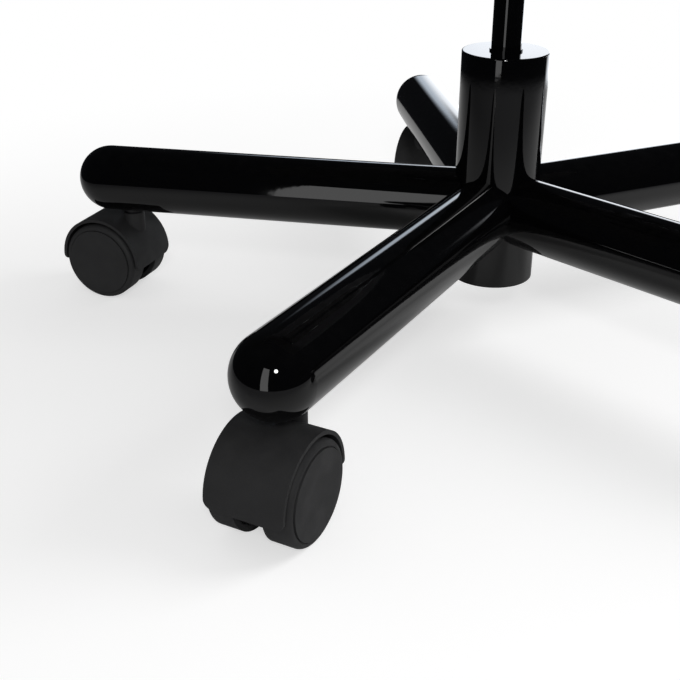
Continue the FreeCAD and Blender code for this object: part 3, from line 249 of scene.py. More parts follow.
def make_world():
    world = bpy.data.worlds.new("studio")
    world.use_nodes = True
    tree = world.node_tree
    tree.nodes.clear()
    aim = add_node(tree, "ShaderNodeTexCoord").outputs["Generated"]
    axes = add_node(tree, "ShaderNodeSeparateXYZ", {0: aim}).outputs
    turn = calculate(tree, "ARCTAN2", axes["X"], axes["Y"])
    slant = ramp_between(tree, axes["Z"], SLANT_START, SLANT_END, WINDOW_LEFT_LOW, WINDOW_LEFT_HIGH)
    left = ramp_between(tree, calculate(tree, "ADD", turn, slant), -WINDOW_SIDE, WINDOW_SIDE)
    right = ramp_between(tree, turn, WINDOW_RIGHT + WINDOW_SIDE, WINDOW_RIGHT - WINDOW_SIDE)
    bluish = ramp_between(tree, turn, -BLUE_START, -BLUE_END)
    top = ramp_between(tree, turn, -BLUE_START, -BLUE_END, WINDOW_TOP, BLUE_TOP)
    over_top = calculate(tree, "SUBTRACT", axes["Z"], top)
    above = ramp_between(tree, axes["Z"], WINDOW_FOOT - WINDOW_EDGE, WINDOW_FOOT + WINDOW_EDGE)
    below = ramp_between(tree, over_top, WINDOW_EDGE, -WINDOW_EDGE)
    window = calculate(tree, "MULTIPLY", left, right)
    window = calculate(tree, "MULTIPLY", window, calculate(tree, "MULTIPLY", above, below))
    lit = mix_colours(tree, bluish, WINDOW_WHITE, WINDOW_BLUE)
    mirrored = mix_colours(tree, window, DARK_ROOM, lit)
    path = add_node(tree, "ShaderNodeLightPath").outputs
    soft = (SKY_LIGHT, SKY_LIGHT, SKY_LIGHT, 1)
    unseen = mix_colours(tree, path["Is Glossy Ray"], soft, mirrored)
    shown = mix_colours(tree, path["Is Camera Ray"], unseen, BACKGROUND)
    glow = add_node(tree, "ShaderNodeBackground", {"Color": shown})
    add_node(tree, "ShaderNodeOutputWorld", {"Surface": glow.outputs[0]})
    scene.world = world
    return world


print("world:", make_world().name)

# %% [markdown]
# ## The lamps
# A softbox at the right throws the soft shadows and is kept out of the gloss. A tall panel in front does
# the opposite: it shows only in the gloss. A small round lamp gives the one bright dot on the near tip.
# Area lamps suit all three, because their size sets how soft a shadow is and how wide a reflection.

# %% Place the lamps
KEY_PLACE = (1.55, 1.20, 1.75)
KEY_AIM = (0, 0, 0)
KEY_SIZE = 1.4
KEY_BRIGHTNESS = 5.5
PANEL_PLACE = (0.135, -1.50, 0.50)
PANEL_AIM = (0.135, 0, 0.50)
PANEL_WIDTH = 0.39
PANEL_HEIGHT = 1.30
PANEL_BRIGHTNESS = 1.7
DOT_PLACE = (0.73, -1.34, 1.053)
DOT_SIZE = 0.24
DOT_BRIGHTNESS = 30.0
NEAR_TIP = (0, -0.2955, 0.093)


def softbox(name, place, aim, width, height, brightness, shape="RECTANGLE"):
    lamp = bpy.data.lights.new(name, "AREA")
    lamp.shape = shape
    lamp.size = width
    lamp.size_y = height
    lamp.energy = brightness * math.pi * width * height
    box = add_object(name, lamp)
    box.location = place
    box.rotation_mode = "QUATERNION"
    box.rotation_quaternion = (Vector(aim) - Vector(place)).to_track_quat("-Z", "Y")
    box.visible_camera = False
    return box


key = softbox("key_softbox", KEY_PLACE, KEY_AIM, KEY_SIZE, KEY_SIZE, KEY_BRIGHTNESS)
key.visible_glossy = False
panel = softbox("front_panel", PANEL_PLACE, PANEL_AIM, PANEL_WIDTH, PANEL_HEIGHT, PANEL_BRIGHTNESS)
panel.visible_diffuse = False
softbox("round_lamp", DOT_PLACE, NEAR_TIP, DOT_SIZE, DOT_SIZE, DOT_BRIGHTNESS, "DISK")

# %% [markdown]
# ## Effects that several finishes share
# Moulded grain, cloudy gloss, settled dust, rubbed edges and a plain weave turn up on more than one
# piece. Each is a node group with named inputs, built once, so a finish only says how coarse or how
# strong it is there.

# %% Build the shared effects
GRAIN_DETAIL = 2.0
CLOUD_DETAIL = 4.0
CLOUD_START = 0.3
CLOUD_END = 0.7
DUST_DETAIL = 6.0
DUST_START = 0.35
DUST_END = 0.75
LYING_START = 0.2
LYING_END = 0.95
RUB_DETAIL = 5.0
RUB_START = 0.35
RUB_END = 0.65
EDGE_START = 0.99
EDGE_END = 0.85
EDGE_SAMPLES = 4
CROSSED_THREAD = 0.45
WEFT_TONE_SHIFT = 0.37


def noise_on(tree, place, scale, detail):
    values = {"Vector": place, "Scale": scale, "Detail": detail}
    return add_node(tree, "ShaderNodeTexNoise", values).outputs[0]


def make_grain_group():
    tree, given, result = new_group("moulded_grain", {"Scale": 2500.0}, ["Height"])
    place = add_node(tree, "ShaderNodeTexCoord").outputs["Object"]
    fine = noise_on(tree, place, given["Scale"], GRAIN_DETAIL)
    cells = add_node(tree, "ShaderNodeTexVoronoi", {"Vector": place, "Scale": given["Scale"]})
    mixed = calculate(tree, "MULTIPLY", fine, cells.outputs["Distance"])
    tree.links.new(mixed, result["Height"])
    return tree


def make_cloud_group():
    inputs = {"Scale": 20.0, "Low": 0.3, "High": 0.5}
    tree, given, result = new_group("cloudy_gloss", inputs, ["Value"])
    place = add_node(tree, "ShaderNodeTexCoord").outputs["Object"]
    noise = noise_on(tree, place, given["Scale"], CLOUD_DETAIL)
    level = ramp_between(tree, noise, CLOUD_START, CLOUD_END, given["Low"], given["High"])
    tree.links.new(level, result["Value"])
    return tree


def make_dust_group():
    tree, given, result = new_group("settled_dust", {"Scale": 60.0, "Amount": 0.3}, ["Mask"])
    place = add_node(tree, "ShaderNodeTexCoord").outputs["Object"]
    normal = add_node(tree, "ShaderNodeNewGeometry").outputs["Normal"]
    own = add_node(tree, "ShaderNodeVectorTransform", {0: normal}, vector_type="NORMAL",
                   convert_from="WORLD", convert_to="OBJECT").outputs[0]
    up = add_node(tree, "ShaderNodeSeparateXYZ", {0: own}).outputs["Z"]
    lying = ramp_between(tree, up, LYING_START, LYING_END)
    noise = noise_on(tree, place, given["Scale"], DUST_DETAIL)
    patchy = ramp_between(tree, noise, DUST_START, DUST_END)
    mask = calculate(tree, "MULTIPLY", calculate(tree, "MULTIPLY", lying, patchy), given["Amount"])
    tree.links.new(mask, result["Mask"])
    return tree


def make_rub_group():
    inputs = {"Width": 0.0015, "Scale": 90.0, "Amount": 0.5}
    tree, given, result = new_group("rubbed_edge", inputs, ["Mask"])
    place = add_node(tree, "ShaderNodeTexCoord").outputs["Object"]
    normal = add_node(tree, "ShaderNodeNewGeometry").outputs["Normal"]
    eased = add_node(tree, "ShaderNodeBevel", {"Radius": given["Width"]}, samples=EDGE_SAMPLES).outputs[0]
    agree = add_node(tree, "ShaderNodeVectorMath", {0: normal, 1: eased}, operation="DOT_PRODUCT")
    edge = ramp_between(tree, agree.outputs["Value"], EDGE_START, EDGE_END)
    noise = noise_on(tree, place, given["Scale"], RUB_DETAIL)
    broken = ramp_between(tree, noise, RUB_START, RUB_END)
    mask = calculate(tree, "MULTIPLY", calculate(tree, "MULTIPLY", edge, broken), given["Amount"])
    tree.links.new(mask, result["Mask"])
    return tree


def make_weave_group():
    tree, given, result = new_group("plain_weave", {"Pitch": 0.0024}, ["Height", "Tone"])
    cloth = add_node(tree, "ShaderNodeUVMap", uv_map="cloth").outputs[0]
    axes = add_node(tree, "ShaderNodeSeparateXYZ", {0: cloth}).outputs
    across = calculate(tree, "DIVIDE", axes["X"], given["Pitch"])
    along = calculate(tree, "DIVIDE", axes["Y"], given["Pitch"])
    warp = calculate(tree, "SINE", calculate(tree, "MULTIPLY", calculate(tree, "FRACT", across), math.pi))
    weft = calculate(tree, "SINE", calculate(tree, "MULTIPLY", calculate(tree, "FRACT", along), math.pi))
    column = calculate(tree, "FLOOR", across)
    row = calculate(tree, "FLOOR", along)
    count = calculate(tree, "ADD", column, row)
    over = calculate(tree, "FLOORED_MODULO", count, 2.0)
    warp_top = calculate(tree, "MULTIPLY", warp, ramp_between(tree, weft, 0.0, 1.0, CROSSED_THREAD))
    weft_top = calculate(tree, "MULTIPLY", weft, ramp_between(tree, warp, 0.0, 1.0, CROSSED_THREAD))
    height = add_node(tree, "ShaderNodeMix", {0: over, 2: warp_top, 3: weft_top}).outputs[0]
    thread = add_node(tree, "ShaderNodeMix", {0: over, 2: column, 3: row}).outputs[0]
    turned = calculate(tree, "ADD", thread, calculate(tree, "MULTIPLY", over, WEFT_TONE_SHIFT))
    tone = add_node(tree, "ShaderNodeTexWhiteNoise", {"W": turned}, noise_dimensions="1D").outputs["Value"]
    tree.links.new(height, result["Height"])
    tree.links.new(tone, result["Tone"])
    return tree


moulded_grain = make_grain_group()
cloudy_gloss = make_cloud_group()
settled_dust = make_dust_group()
rubbed_edge = make_rub_group()
plain_weave = make_weave_group()
print("shared effects:", [group.name for group in bpy.data.node_groups])

# %% [markdown]
# ## Black gloss paint
# Legs, hub, column, mechanism and upright are sprayed steel. The paint is nearly a black mirror: what
# gives it away is a faint ripple of the sprayed skin, cloudy gloss, and a breath of dust on top. A plain
# black mirror would look like plastic film.

# %% Make the gloss paint
PAINT_BLACK = (0.0014, 0.0014, 0.0016, 1)
PAINT_RUBBED = (0.10, 0.10, 0.105, 1)
PAINT_DUST = (0.30, 0.29, 0.28, 1)
RIPPLE_SCALE = 260.0
RIPPLE_DETAIL = 1.0
RIPPLE_DEPTH = 0.000008


def make_gloss_paint():
    finish, tree, shader = new_finish("gloss_black_paint")
    dust = use_group(tree, settled_dust, Scale=140.0, Amount=0.004)["Mask"]
    rub = use_group(tree, rubbed_edge, Width=0.0008, Scale=160.0, Amount=0.05)["Mask"]
    painted = mix_colours(tree, rub, PAINT_BLACK, PAINT_RUBBED)
    colour = mix_colours(tree, dust, painted, PAINT_DUST)
    tree.links.new(colour, shader.inputs["Base Color"])
    gloss = use_group(tree, cloudy_gloss, Scale=14.0, Low=0.025, High=0.06)["Value"]
    tree.links.new(gloss, shader.inputs["Roughness"])
    place = add_node(tree, "ShaderNodeTexCoord").outputs["Object"]
    ripple = noise_on(tree, place, RIPPLE_SCALE, RIPPLE_DETAIL)
    bump_from(tree, shader, ripple, RIPPLE_DEPTH)
    set_inputs(shader, IOR=1.5)
    return finish


gloss_paint = make_gloss_paint()
print("finish:", gloss_paint.name)

# %% [markdown]
# ## Moulded plastics and rubber
# Casters are grey-black nylon with a matt spark-eroded grain. Shell, knob, grip and the like are a satin
# black plastic with a finer grain, and bush and seal are rubber. One grain group serves all three at its
# own scale.

# %% Make the moulded finishes
PLASTIC_DUST = (0.25, 0.24, 0.23, 1)


def make_moulded(name, colour, rubbed, grain_scale, grain_depth, low, high):
    finish, tree, shader = new_finish(name)
    dust = use_group(tree, settled_dust, Scale=110.0, Amount=0.02)["Mask"]
    rub = use_group(tree, rubbed_edge, Width=0.0012, Scale=220.0, Amount=0.35)["Mask"]
    shade = use_group(tree, cloudy_gloss, Scale=45.0, Low=0.0, High=0.25)["Value"]
    uneven = mix_colours(tree, shade, colour, rubbed)
    worn = mix_colours(tree, rub, uneven, rubbed)
    tree.links.new(mix_colours(tree, dust, worn, PLASTIC_DUST), shader.inputs["Base Color"])
    gloss = use_group(tree, cloudy_gloss, Scale=60.0, Low=low, High=high)["Value"]
    tree.links.new(gloss, shader.inputs["Roughness"])
    grain = use_group(tree, moulded_grain, Scale=grain_scale)["Height"]
    bump_from(tree, shader, grain, grain_depth)
    set_inputs(shader, IOR=1.45)
    return finish


caster_nylon = make_moulded(
    "caster_nylon",
    colour=(0.022, 0.022, 0.023, 1),
    rubbed=(0.033, 0.033, 0.034, 1),
    grain_scale=1500.0,
    grain_depth=0.00010,
    low=0.60,
    high=0.72,
)
black_plastic = make_moulded(
    "black_plastic",
    colour=(0.016, 0.016, 0.017, 1),
    rubbed=(0.030, 0.030, 0.031, 1),
    grain_scale=2600.0,
    grain_depth=0.00006,
    low=0.38,
    high=0.52,
)
rubber = make_moulded(
    "rubber",
    colour=(0.018, 0.018, 0.018, 1),
    rubbed=(0.035, 0.034, 0.033, 1),
    grain_scale=4000.0,
    grain_depth=0.00003,
    low=0.65,
    high=0.80,
)
print("finishes:", caster_nylon.name, black_plastic.name, rubber.name)

# %% [markdown]
# ## Bare metals
# Pins, bolts and the height lever are zinc-plated steel, the caster stems are blackened and the piston is
# machined aluminium. All get fine turning marks as stretched noise, because a clean mirror metal never
# leaves a workshop.

# %% Make the metals
MARK_STRETCH = (400.0, 400.0, 3000.0)
MARK_DETAIL = 3.0
MARK_DEPTH = 0.00001


def make_metal(name, colour, stained, low, high):
    finish, tree, shader = new_finish(name)
    place = add_node(tree, "ShaderNodeTexCoord").outputs["Object"]
    drawn = add_node(tree, "ShaderNodeMapping", {"Vector": place, "Scale": MARK_STRETCH})
    marks = noise_on(tree, drawn.outputs[0], 1.0, MARK_DETAIL)
    stain = use_group(tree, cloudy_gloss, Scale=90.0, Low=0.0, High=0.6)["Value"]
    tree.links.new(mix_colours(tree, stain, colour, stained), shader.inputs["Base Color"])
    gloss = use_group(tree, cloudy_gloss, Scale=120.0, Low=low, High=high)["Value"]
    tree.links.new(gloss, shader.inputs["Roughness"])
    bump_from(tree, shader, marks, MARK_DEPTH)
    set_inputs(shader, Metallic=1.0)
    return finish


plain_steel = make_metal(
    "plain_steel",
    colour=(0.56, 0.57, 0.58, 1),
    stained=(0.40, 0.40, 0.41, 1),
    low=0.24,
    high=0.38,
)
bare_aluminium = make_metal(
    "bare_aluminium",
    colour=(0.72, 0.72, 0.74, 1),
    stained=(0.58, 0.58, 0.60, 1),
    low=0.28,
    high=0.42,
)
blackened_steel = make_metal(
    "blackened_steel",
    colour=(0.030, 0.030, 0.032, 1),
    stained=(0.016, 0.016, 0.017, 1),
    low=0.40,
    high=0.55,
)
print("finishes:", plain_steel.name, bare_aluminium.name, blackened_steel.name)

# %% [markdown]
# ## Upholstery
# Seat and back wear a charcoal cloth with two tones of yarn in a plain weave. Yarn colours change from
# thread to thread, and a soft sheen catches light at the edges. The hollows between the yarns are darkened
# as painted shade. The pattern follows a UV map in metres, so the yarns keep their real width on every
# side of a cushion. Piping and thread are too thin for a weave and get a twisted look.

# %% Make the cloth, the piping and the thread
TONE_SHARE = 0.7
THREAD_TOP = 0.9
GAP_LIGHT = 0.35
GAP_SHADE_COLOUR = (0.004, 0.004, 0.005, 1)
TWIST_DETAIL = 2.0


def make_cloth(name, dark, pale, pitch, depth):
    finish, tree, shader = new_finish(name)
    weave = use_group(tree, plain_weave, Pitch=pitch)
    shade = use_group(tree, cloudy_gloss, Scale=9.0, Low=0.0, High=0.25)["Value"]
    mingled = calculate(tree, "ADD", calculate(tree, "MULTIPLY", weave["Tone"], TONE_SHARE), shade)
    yarn = mix_colours(tree, mingled, dark, pale)
    # Painted shade: the hollows between the yarns are darkened towards the gap colour by thread height.
    lit = ramp_between(tree, weave["Height"], 0.0, THREAD_TOP, GAP_LIGHT)
    tree.links.new(mix_colours(tree, lit, GAP_SHADE_COLOUR, yarn), shader.inputs["Base Color"])
    fuzz = use_group(tree, cloudy_gloss, Scale=70.0, Low=0.82, High=0.96)["Value"]
    tree.links.new(fuzz, shader.inputs["Roughness"])
    bump_from(tree, shader, weave["Height"], depth)
    set_inputs(shader, Sheen_Weight=0.22, Sheen_Roughness=0.45, Specular_IOR_Level=0.25)
    return finish


def make_yarn(name, dark, pale, scale, depth):
    finish, tree, shader = new_finish(name)
    place = add_node(tree, "ShaderNodeTexCoord").outputs["Object"]
    twist = noise_on(tree, place, scale, TWIST_DETAIL)
    colour = mix_colours(tree, twist, dark, pale)
    tree.links.new(colour, shader.inputs["Base Color"])
    gloss = use_group(tree, cloudy_gloss, Scale=300.0, Low=0.60, High=0.80)["Value"]
    tree.links.new(gloss, shader.inputs["Roughness"])
    bump_from(tree, shader, twist, depth)
    set_inputs(shader, Sheen_Weight=0.15, Specular_IOR_Level=0.25)
    return finish


cushion_cloth = make_cloth(
    "cushion_cloth",
    dark=(0.020, 0.021, 0.024, 1),
    pale=(0.055, 0.057, 0.064, 1),
    pitch=0.0024,
    depth=0.0006,
)
piping_cloth = make_yarn(
    "piping_cloth",
    dark=(0.010, 0.010, 0.012, 1),
    pale=(0.030, 0.031, 0.035, 1),
    scale=900.0,
    depth=0.0003,
)
sewing_thread = make_yarn(
    "sewing_thread",
    dark=(0.012, 0.012, 0.014, 1),
    pale=(0.050, 0.050, 0.055, 1),
    scale=1800.0,
    depth=0.0001,
)
print("finishes:", cushion_cloth.name, piping_cloth.name, sewing_thread.name)

# %% [markdown]
# ## Finishes on the hard pieces
# A hard piece keeps its solid, so it only needs its finish. A finish is chosen by a word in the piece's
# name, and the longest word wins, because the five casters repeat the same pieces. What has no such word
# is painted.

# %% Give each solid its finish
FINISH_WORDS = {
    "hood": caster_nylon,
    "wheel": caster_nylon,
    "stem": blackened_steel,
    "axle": plain_steel,
    "pin": plain_steel,
    "bolts": plain_steel,
    "screws": plain_steel,
    "clip": plain_steel,
    "lift_rod": plain_steel,
    "thrust_bearing": plain_steel,
    "height_lever": plain_steel,
    "piston": bare_aluminium,
    "seal": rubber,
    "recline_bush": rubber,
    "sockets": black_plastic,
    "grip": black_plastic,
    "plug": black_plastic,
    "slider": black_plastic,
    "knob": black_plastic,
    "shell": black_plastic,
    "pan": black_plastic,
}


def finish_of(name):
    found = [word for word in FINISH_WORDS if word in name]
    return FINISH_WORDS[max(found, key=len)] if found else gloss_paint


for name, solid in nodes.items():
    solid.data.materials.clear()
    solid.data.materials.append(finish_of(name))
print("painted:", sorted(name for name in nodes if finish_of(name) is gloss_paint))

# %% [markdown]
# ## A plan of each cushion
# Seams and weave are easy to place on a flat plan. The seat is nearly flat already. The back pad is
# wrapped round the sitter and bulges at the loin, so its plan unrolls it about the axis of its wrap. Each
# plan turns a place into two distances along the panel and one outwards from what the cushion rests on.

# %% Lay the cushions out flat
BACK_LEAN = math.radians(6)
WRAP_RADIUS = 0.430
WRAP_REACH = 0.499
LUMBAR_RADIUS = 0.760

seat_low, seat_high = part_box("seat_cushion")
seat_middle = (seat_low + seat_high) / 2
back_low, back_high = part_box("back_pad")
back_middle = (back_low + back_high) / 2
clamp = next(joint for joint in frame["joints"] if joint["name"] == "clamp_turn")
backwards = Vector((0, math.cos(BACK_LEAN), -math.sin(BACK_LEAN)))
upwards = Vector((0, math.sin(BACK_LEAN), math.cos(BACK_LEAN)))
wrap_axis = Vector(clamp["pos_m"]) - WRAP_REACH * backwards


def seat_plan(place):
    return Vector((place.x - seat_middle.x, place.y - seat_middle.y, place.z - seat_low.z))


def back_plan(place):
    off = place - wrap_axis
    height = off.dot(upwards)
    depth = off.dot(backwards)
    bow = LUMBAR_RADIUS - math.sqrt(LUMBAR_RADIUS ** 2 - height ** 2)
    around = math.atan2(off.x, depth) * WRAP_RADIUS
    return Vector((around, height, WRAP_RADIUS + bow - math.hypot(off.x, depth)))


print("back pad lies", round(back_plan(back_middle).z, 4), "m in front of the shell's back")

# %% [markdown]
# ## A cover to start from
# A real cushion is a sewn cover over foam: it crowns, its sides pull in a little between the corners, and
# it is flat where it rests. The cover starts as a slightly smaller copy of the solid, because it will
# swell. It gets even mesh cells, so that it swells alike everywhere, and drawn-in sides.

# %% Make an even cover
VOXEL = 0.005
DRAW_IN = 0.022
MERGE_GAP = 0.00002
SEAT_SHRINK = (0.992, 0.992, 0.92)
BACK_SHRINK = (0.992, 1.0, 0.992)


def evaluated_mesh(thing):
    graph = bpy.context.evaluated_depsgraph_get()
    return bpy.data.meshes.new_from_object(thing.evaluated_get(graph))


def even_cover(name, node, shrink, anchor, sides):
    """Copy of a solid, made smaller towards an anchor, given even cells and drawn in along two sides."""
    mesh = nodes[node].data.copy()
    shape = bmesh.new()
    shape.from_mesh(mesh)
    bmesh.ops.remove_doubles(shape, verts=shape.verts, dist=MERGE_GAP)
    for point in shape.verts:
        point.co = anchor + Vector(size * share for size, share in zip(point.co - anchor, shrink))
    shape.to_mesh(mesh)
    shape.free()
    mesh.materials.clear()
    rough = add_object(name + "_rough", mesh)
    even = rough.modifiers.new("even", "REMESH")
    even.mode = "VOXEL"
    even.voxel_size = VOXEL
    cover = add_object(name, evaluated_mesh(rough))
    bpy.data.objects.remove(rough)
    first, second = sides
    half = [max(abs(point.co[axis] - anchor[axis]) for point in cover.data.vertices) for axis in range(3)]
    for point in cover.data.vertices:
        off = point.co - anchor
        for axis, other in ((first, second), (second, first)):
            middle_share = 1 - (off[other] / half[other]) ** 2
            point.co[axis] = anchor[axis] + off[axis] * (1 - DRAW_IN * middle_share)
    return cover


seat_anchor = Vector((seat_middle.x, seat_middle.y, seat_low.z))
seat_cover = even_cover("seat_cover", "seat_cushion", SEAT_SHRINK, seat_anchor, (0, 1))
back_cover = even_cover("back_cover", "back_pad", BACK_SHRINK, back_middle, (0, 2))
print("covers:", len(seat_cover.data.vertices), "and", len(back_cover.data.vertices), "points")

# %% [markdown]
# ## Cushions blown up from inside
# The crown could be sculpted by a formula, but a simulation gives the small unevenness of stuffed cloth.
# Cloth with inner pressure swells the cover while its resting side is held. No point moves further than a
# cap, and the sharpest creases are eased.

# %% Swell the covers
SWELL_FRAMES = 20
SWELL_PRESSURE = 4.0
HELD_LAYER = 0.004
SEAT_SWELL = 0.008
BACK_SWELL = 0.006
EASE_PASSES = 6
EASE_SHARE = 0.5
LEAST_SHIFT = 1e-9


def ease(cover):
    """Take the sharpest creases out of the swollen cloth."""
    shape = bmesh.new()
    shape.from_mesh(cover.data)
    every_axis = {"use_axis_x": True, "use_axis_y": True, "use_axis_z": True}
    for _ in range(EASE_PASSES):
        bmesh.ops.smooth_vert(shape, verts=shape.verts, factor=EASE_SHARE, **every_axis)
    shape.to_mesh(cover.data)
    shape.free()


def swell(cover, plan, cap):
    """Blow the cover up from inside and stop each point after it has moved by cap."""
    start = [point.co.copy() for point in cover.data.vertices]
    outwards = [plan(place).z for place in start]
    resting = min(outwards) + HELD_LAYER
    held = cover.vertex_groups.new(name="held")
    held.add([index for index, out in enumerate(outwards) if out < resting], 1.0, "REPLACE")
    cloth = cover.modifiers.new("swell", "CLOTH")
    cloth.settings.vertex_group_mass = held.name
    cloth.settings.use_pressure = True
    cloth.settings.uniform_pressure_force = SWELL_PRESSURE
    cloth.settings.effector_weights.gravity = 0
    for step in range(1, SWELL_FRAMES + 1):
        scene.frame_set(step)
    swollen = evaluated_mesh(cover)
    for point, place, moved in zip(cover.data.vertices, start, swollen.vertices):
        shift = moved.co - place
        point.co = place + shift * min(1.0, cap / max(shift.length, LEAST_SHIFT))
    cover.modifiers.clear()
    cover.vertex_groups.clear()
    bpy.data.meshes.remove(swollen)
    scene.frame_set(1)
    ease(cover)


swell(seat_cover, seat_plan, SEAT_SWELL)
swell(back_cover, back_plan, BACK_SWELL)
seat_top = max(point.co.z for point in seat_cover.data.vertices)
print("seat crown against its solid:", round((seat_top - seat_high.z) * 1000, 1), "mm")

# %% [markdown]
# ## Seams
# The cover of a task chair is a panel sewn to a boxing strip all round, with the seam on the shoulder
# between them. The seam is found on the swollen cover itself: going round the plan, it is the point that
# lies furthest out and up together. The loop is then smoothed and laid back on the cloth, so that it
# follows whatever the swelling made.

# %% Find the seams
SEAM_POINTS = 240
SEAM_SMOOTHING = 30
SEAT_CORNER = 0.087
BACK_CORNER = 0.081


def surface_of(cover):
    corners = [point.co for point in cover.data.vertices]
    return BVHTree.FromPolygons(corners, [face.vertices for face in cover.data.polygons])


def lay_on(loop, surface):
    return [surface.find_nearest(place)[0] for place in loop]


def smooth_loop(loop, surface, passes):
    count = len(loop)
    for _ in range(passes):
        loop = [(loop[spot - 1] + 2 * loop[spot] + loop[(spot + 1) % count]) / 4 for spot in range(count)]
    return lay_on(loop, surface)


def outside_of(plan_place, half_width, half_height, corner):
    """Distance outside a rounded rectangle, negative within it."""
    across = abs(plan_place.x) - half_width + corner
    along = abs(plan_place.y) - half_height + corner
    return math.hypot(max(across, 0), max(along, 0)) + min(max(across, along), 0) - corner


def half_sizes(flat):
    return max(abs(place.x) for place in flat), max(abs(place.y) for place in flat)


def find_seam(cover, plan, corner):
    flat = [plan(point.co) for point in cover.data.vertices]
    half_width, half_height = half_sizes(flat)
    best = {}
    for index, place in enumerate(flat):
        spot = int((math.atan2(place.y, place.x) / math.tau + 0.5) * SEAM_POINTS) % SEAM_POINTS
        score = outside_of(place, half_width, half_height, corner) + place.z
        best[spot] = max(best.get(spot, (-1, 0)), (score, index))
    loop = [cover.data.vertices[best[spot][1]].co.copy() for spot in sorted(best)]
    return smooth_loop(loop, surface_of(cover), SEAM_SMOOTHING)


def loop_length(loop):
    return sum((loop[spot] - loop[spot - 1]).length for spot in range(len(loop)))


seat_seam = find_seam(seat_cover, seat_plan, SEAT_CORNER)
back_seam = find_seam(back_cover, back_plan, BACK_CORNER)
print("seams:", round(loop_length(seat_seam), 3), "m and", round(loop_length(back_seam), 3), "m")

# %% [markdown]
# ## Pulled-in cloth along the seams
# Thread pulls the cloth into the foam, so a seam lies in a soft groove, and so does the line of stitches
# beside it. One subdivision first gives the grooves enough points. They are then sculpted in code: each
# point near a line sinks along its own normal, most in the middle.

# %% Sink the seams
LINE_STEP = 0.001
LINE_SMOOTHING = 4
STITCH_INSET = 0.009
SEAM_DEPTH = 0.0028
SEAM_REACH = 0.011
STITCH_DEPTH = 0.0012
STITCH_REACH = 0.006


def inner_line(cover, seam, inset):
    """Loop on the panel, beside the seam."""
    surface = surface_of(cover)
    middle = sum(seam, Vector()) / len(seam)
    loop = []
    for spot, place in enumerate(seam):
        along = (seam[(spot + 1) % len(seam)] - seam[spot - 1]).normalized()
        inwards = surface.find_nearest(place)[1].cross(along).normalized()
        side = 1 if inwards.dot(middle - place) > 0 else -1
        loop.append(place + side * inset * inwards)
    return smooth_loop(loop, surface, LINE_SMOOTHING)


def dense_line(loop, step):
    places = []
    for spot, end in enumerate(loop):
        start = loop[spot - 1]
        count = max(1, round((end - start).length / step))
        places += [start.lerp(end, share / count) for share in range(count)]
    return places


def tree_of(places):
    tree = KDTree(len(places))
    for index, place in enumerate(places):
        tree.insert(place, index)
    tree.balance()
    return tree


def sink_line(cover, loop, depth, reach):
    tree = tree_of(dense_line(loop, LINE_STEP))
    moves = []
    for point in cover.data.vertices:
        near = tree.find(point.co)[2]
        share = max(0.0, 1 - near / reach)
        moves.append(point.normal * depth * share * share * (3 - 2 * share))
    for point, move in zip(cover.data.vertices, moves):
        point.co -= move


def subdivided(cover):
    rounder = cover.modifiers.new("rounder", "SUBSURF")
    rounder.levels = 1
    mesh = evaluated_mesh(cover)
    cover.modifiers.clear()
    cover.data = mesh
    mesh.polygons.foreach_set("use_smooth", [True] * len(mesh.polygons))


stitch_lines = {}
for cover, seam in ((seat_cover, seat_seam), (back_cover, back_seam)):
    stitch_line = inner_line(cover, seam, STITCH_INSET)
    subdivided(cover)
    sink_line(cover, seam, SEAM_DEPTH, SEAM_REACH)
    sink_line(cover, stitch_line, STITCH_DEPTH, STITCH_REACH)
    stitch_lines[cover.name] = lay_on(stitch_line, surface_of(cover))
    seam[:] = lay_on(seam, surface_of(cover))
print("cover faces:", len(seat_cover.data.polygons), "and", len(back_cover.data.polygons))

# %% [markdown]
# ## The run of the weave
# Panel and boxing strip are cut from one cloth but laid differently: on the panel the yarns follow the
# plan, and on the strip they follow the seam. The UV map keeps both in metres, so the yarn has the same
# width everywhere.

# %% Map the cloth
SEAM_STEP = 0.004
UNDERSIDE_INSET = 0.021
UNDERSIDE_HEIGHT = 0.015


def map_cloth(cover, plan, seam, corner):
    places = dense_line(seam, SEAM_STEP)
    count = len(places)
    tree = tree_of(places)
    runs = [0.0]
    for index, place in enumerate(places):
        runs.append(runs[-1] + (places[(index + 1) % count] - place).length)
    flat = [plan(point.co) for point in cover.data.vertices]
    half_width, half_height = half_sizes(flat)
    rest = min(place.z for place in flat)

    def tilt(place):
        return place.z - outside_of(place, half_width, half_height, corner)

    strip = []
    on_panel = []
    for point, place in zip(cover.data.vertices, flat):
        near, index, _ = tree.find(point.co)
        along = (places[(index + 1) % count] - places[index - 1]).normalized()
        strip.append((runs[index] + (point.co - near).dot(along), place.z))
        inside = outside_of(place, half_width, half_height, corner) < -UNDERSIDE_INSET
        under = inside and place.z < rest + UNDERSIDE_HEIGHT
        on_panel.append(under or tilt(place) > tilt(plan(near)))
    chart = cover.data.uv_layers.new(name="cloth")
    spots = [0.0] * (2 * len(cover.data.loops))
    for face in cover.data.polygons:
        panel = sum(on_panel[index] for index in face.vertices) * 2 >= len(face.vertices)
        first = strip[face.vertices[0]][0]
        for corner_index, index in zip(face.loop_indices, face.vertices):
            if panel:
                spot = flat[index].xy
            else:
                run, out = strip[index]
                spot = (run + round((first - run) / runs[-1]) * runs[-1], out)
            spots[2 * corner_index:2 * corner_index + 2] = spot
    chart.data.foreach_set("uv", spots)
    cover.data.materials.append(cushion_cloth)


map_cloth(seat_cover, seat_plan, seat_seam, SEAT_CORNER)
map_cloth(back_cover, back_plan, back_seam, BACK_CORNER)
print("cloth maps:", seat_cover.data.uv_layers[0].name, back_cover.data.uv_layers[0].name)

# %% [markdown]
# ## Piping
# A cord sewn into the seam keeps its edge crisp. A bevelled curve would do, but a node tree names its
# sizes and is used again for the other cushion: it takes the seam as a line, spaces its points evenly and
# sweeps a ring along it.

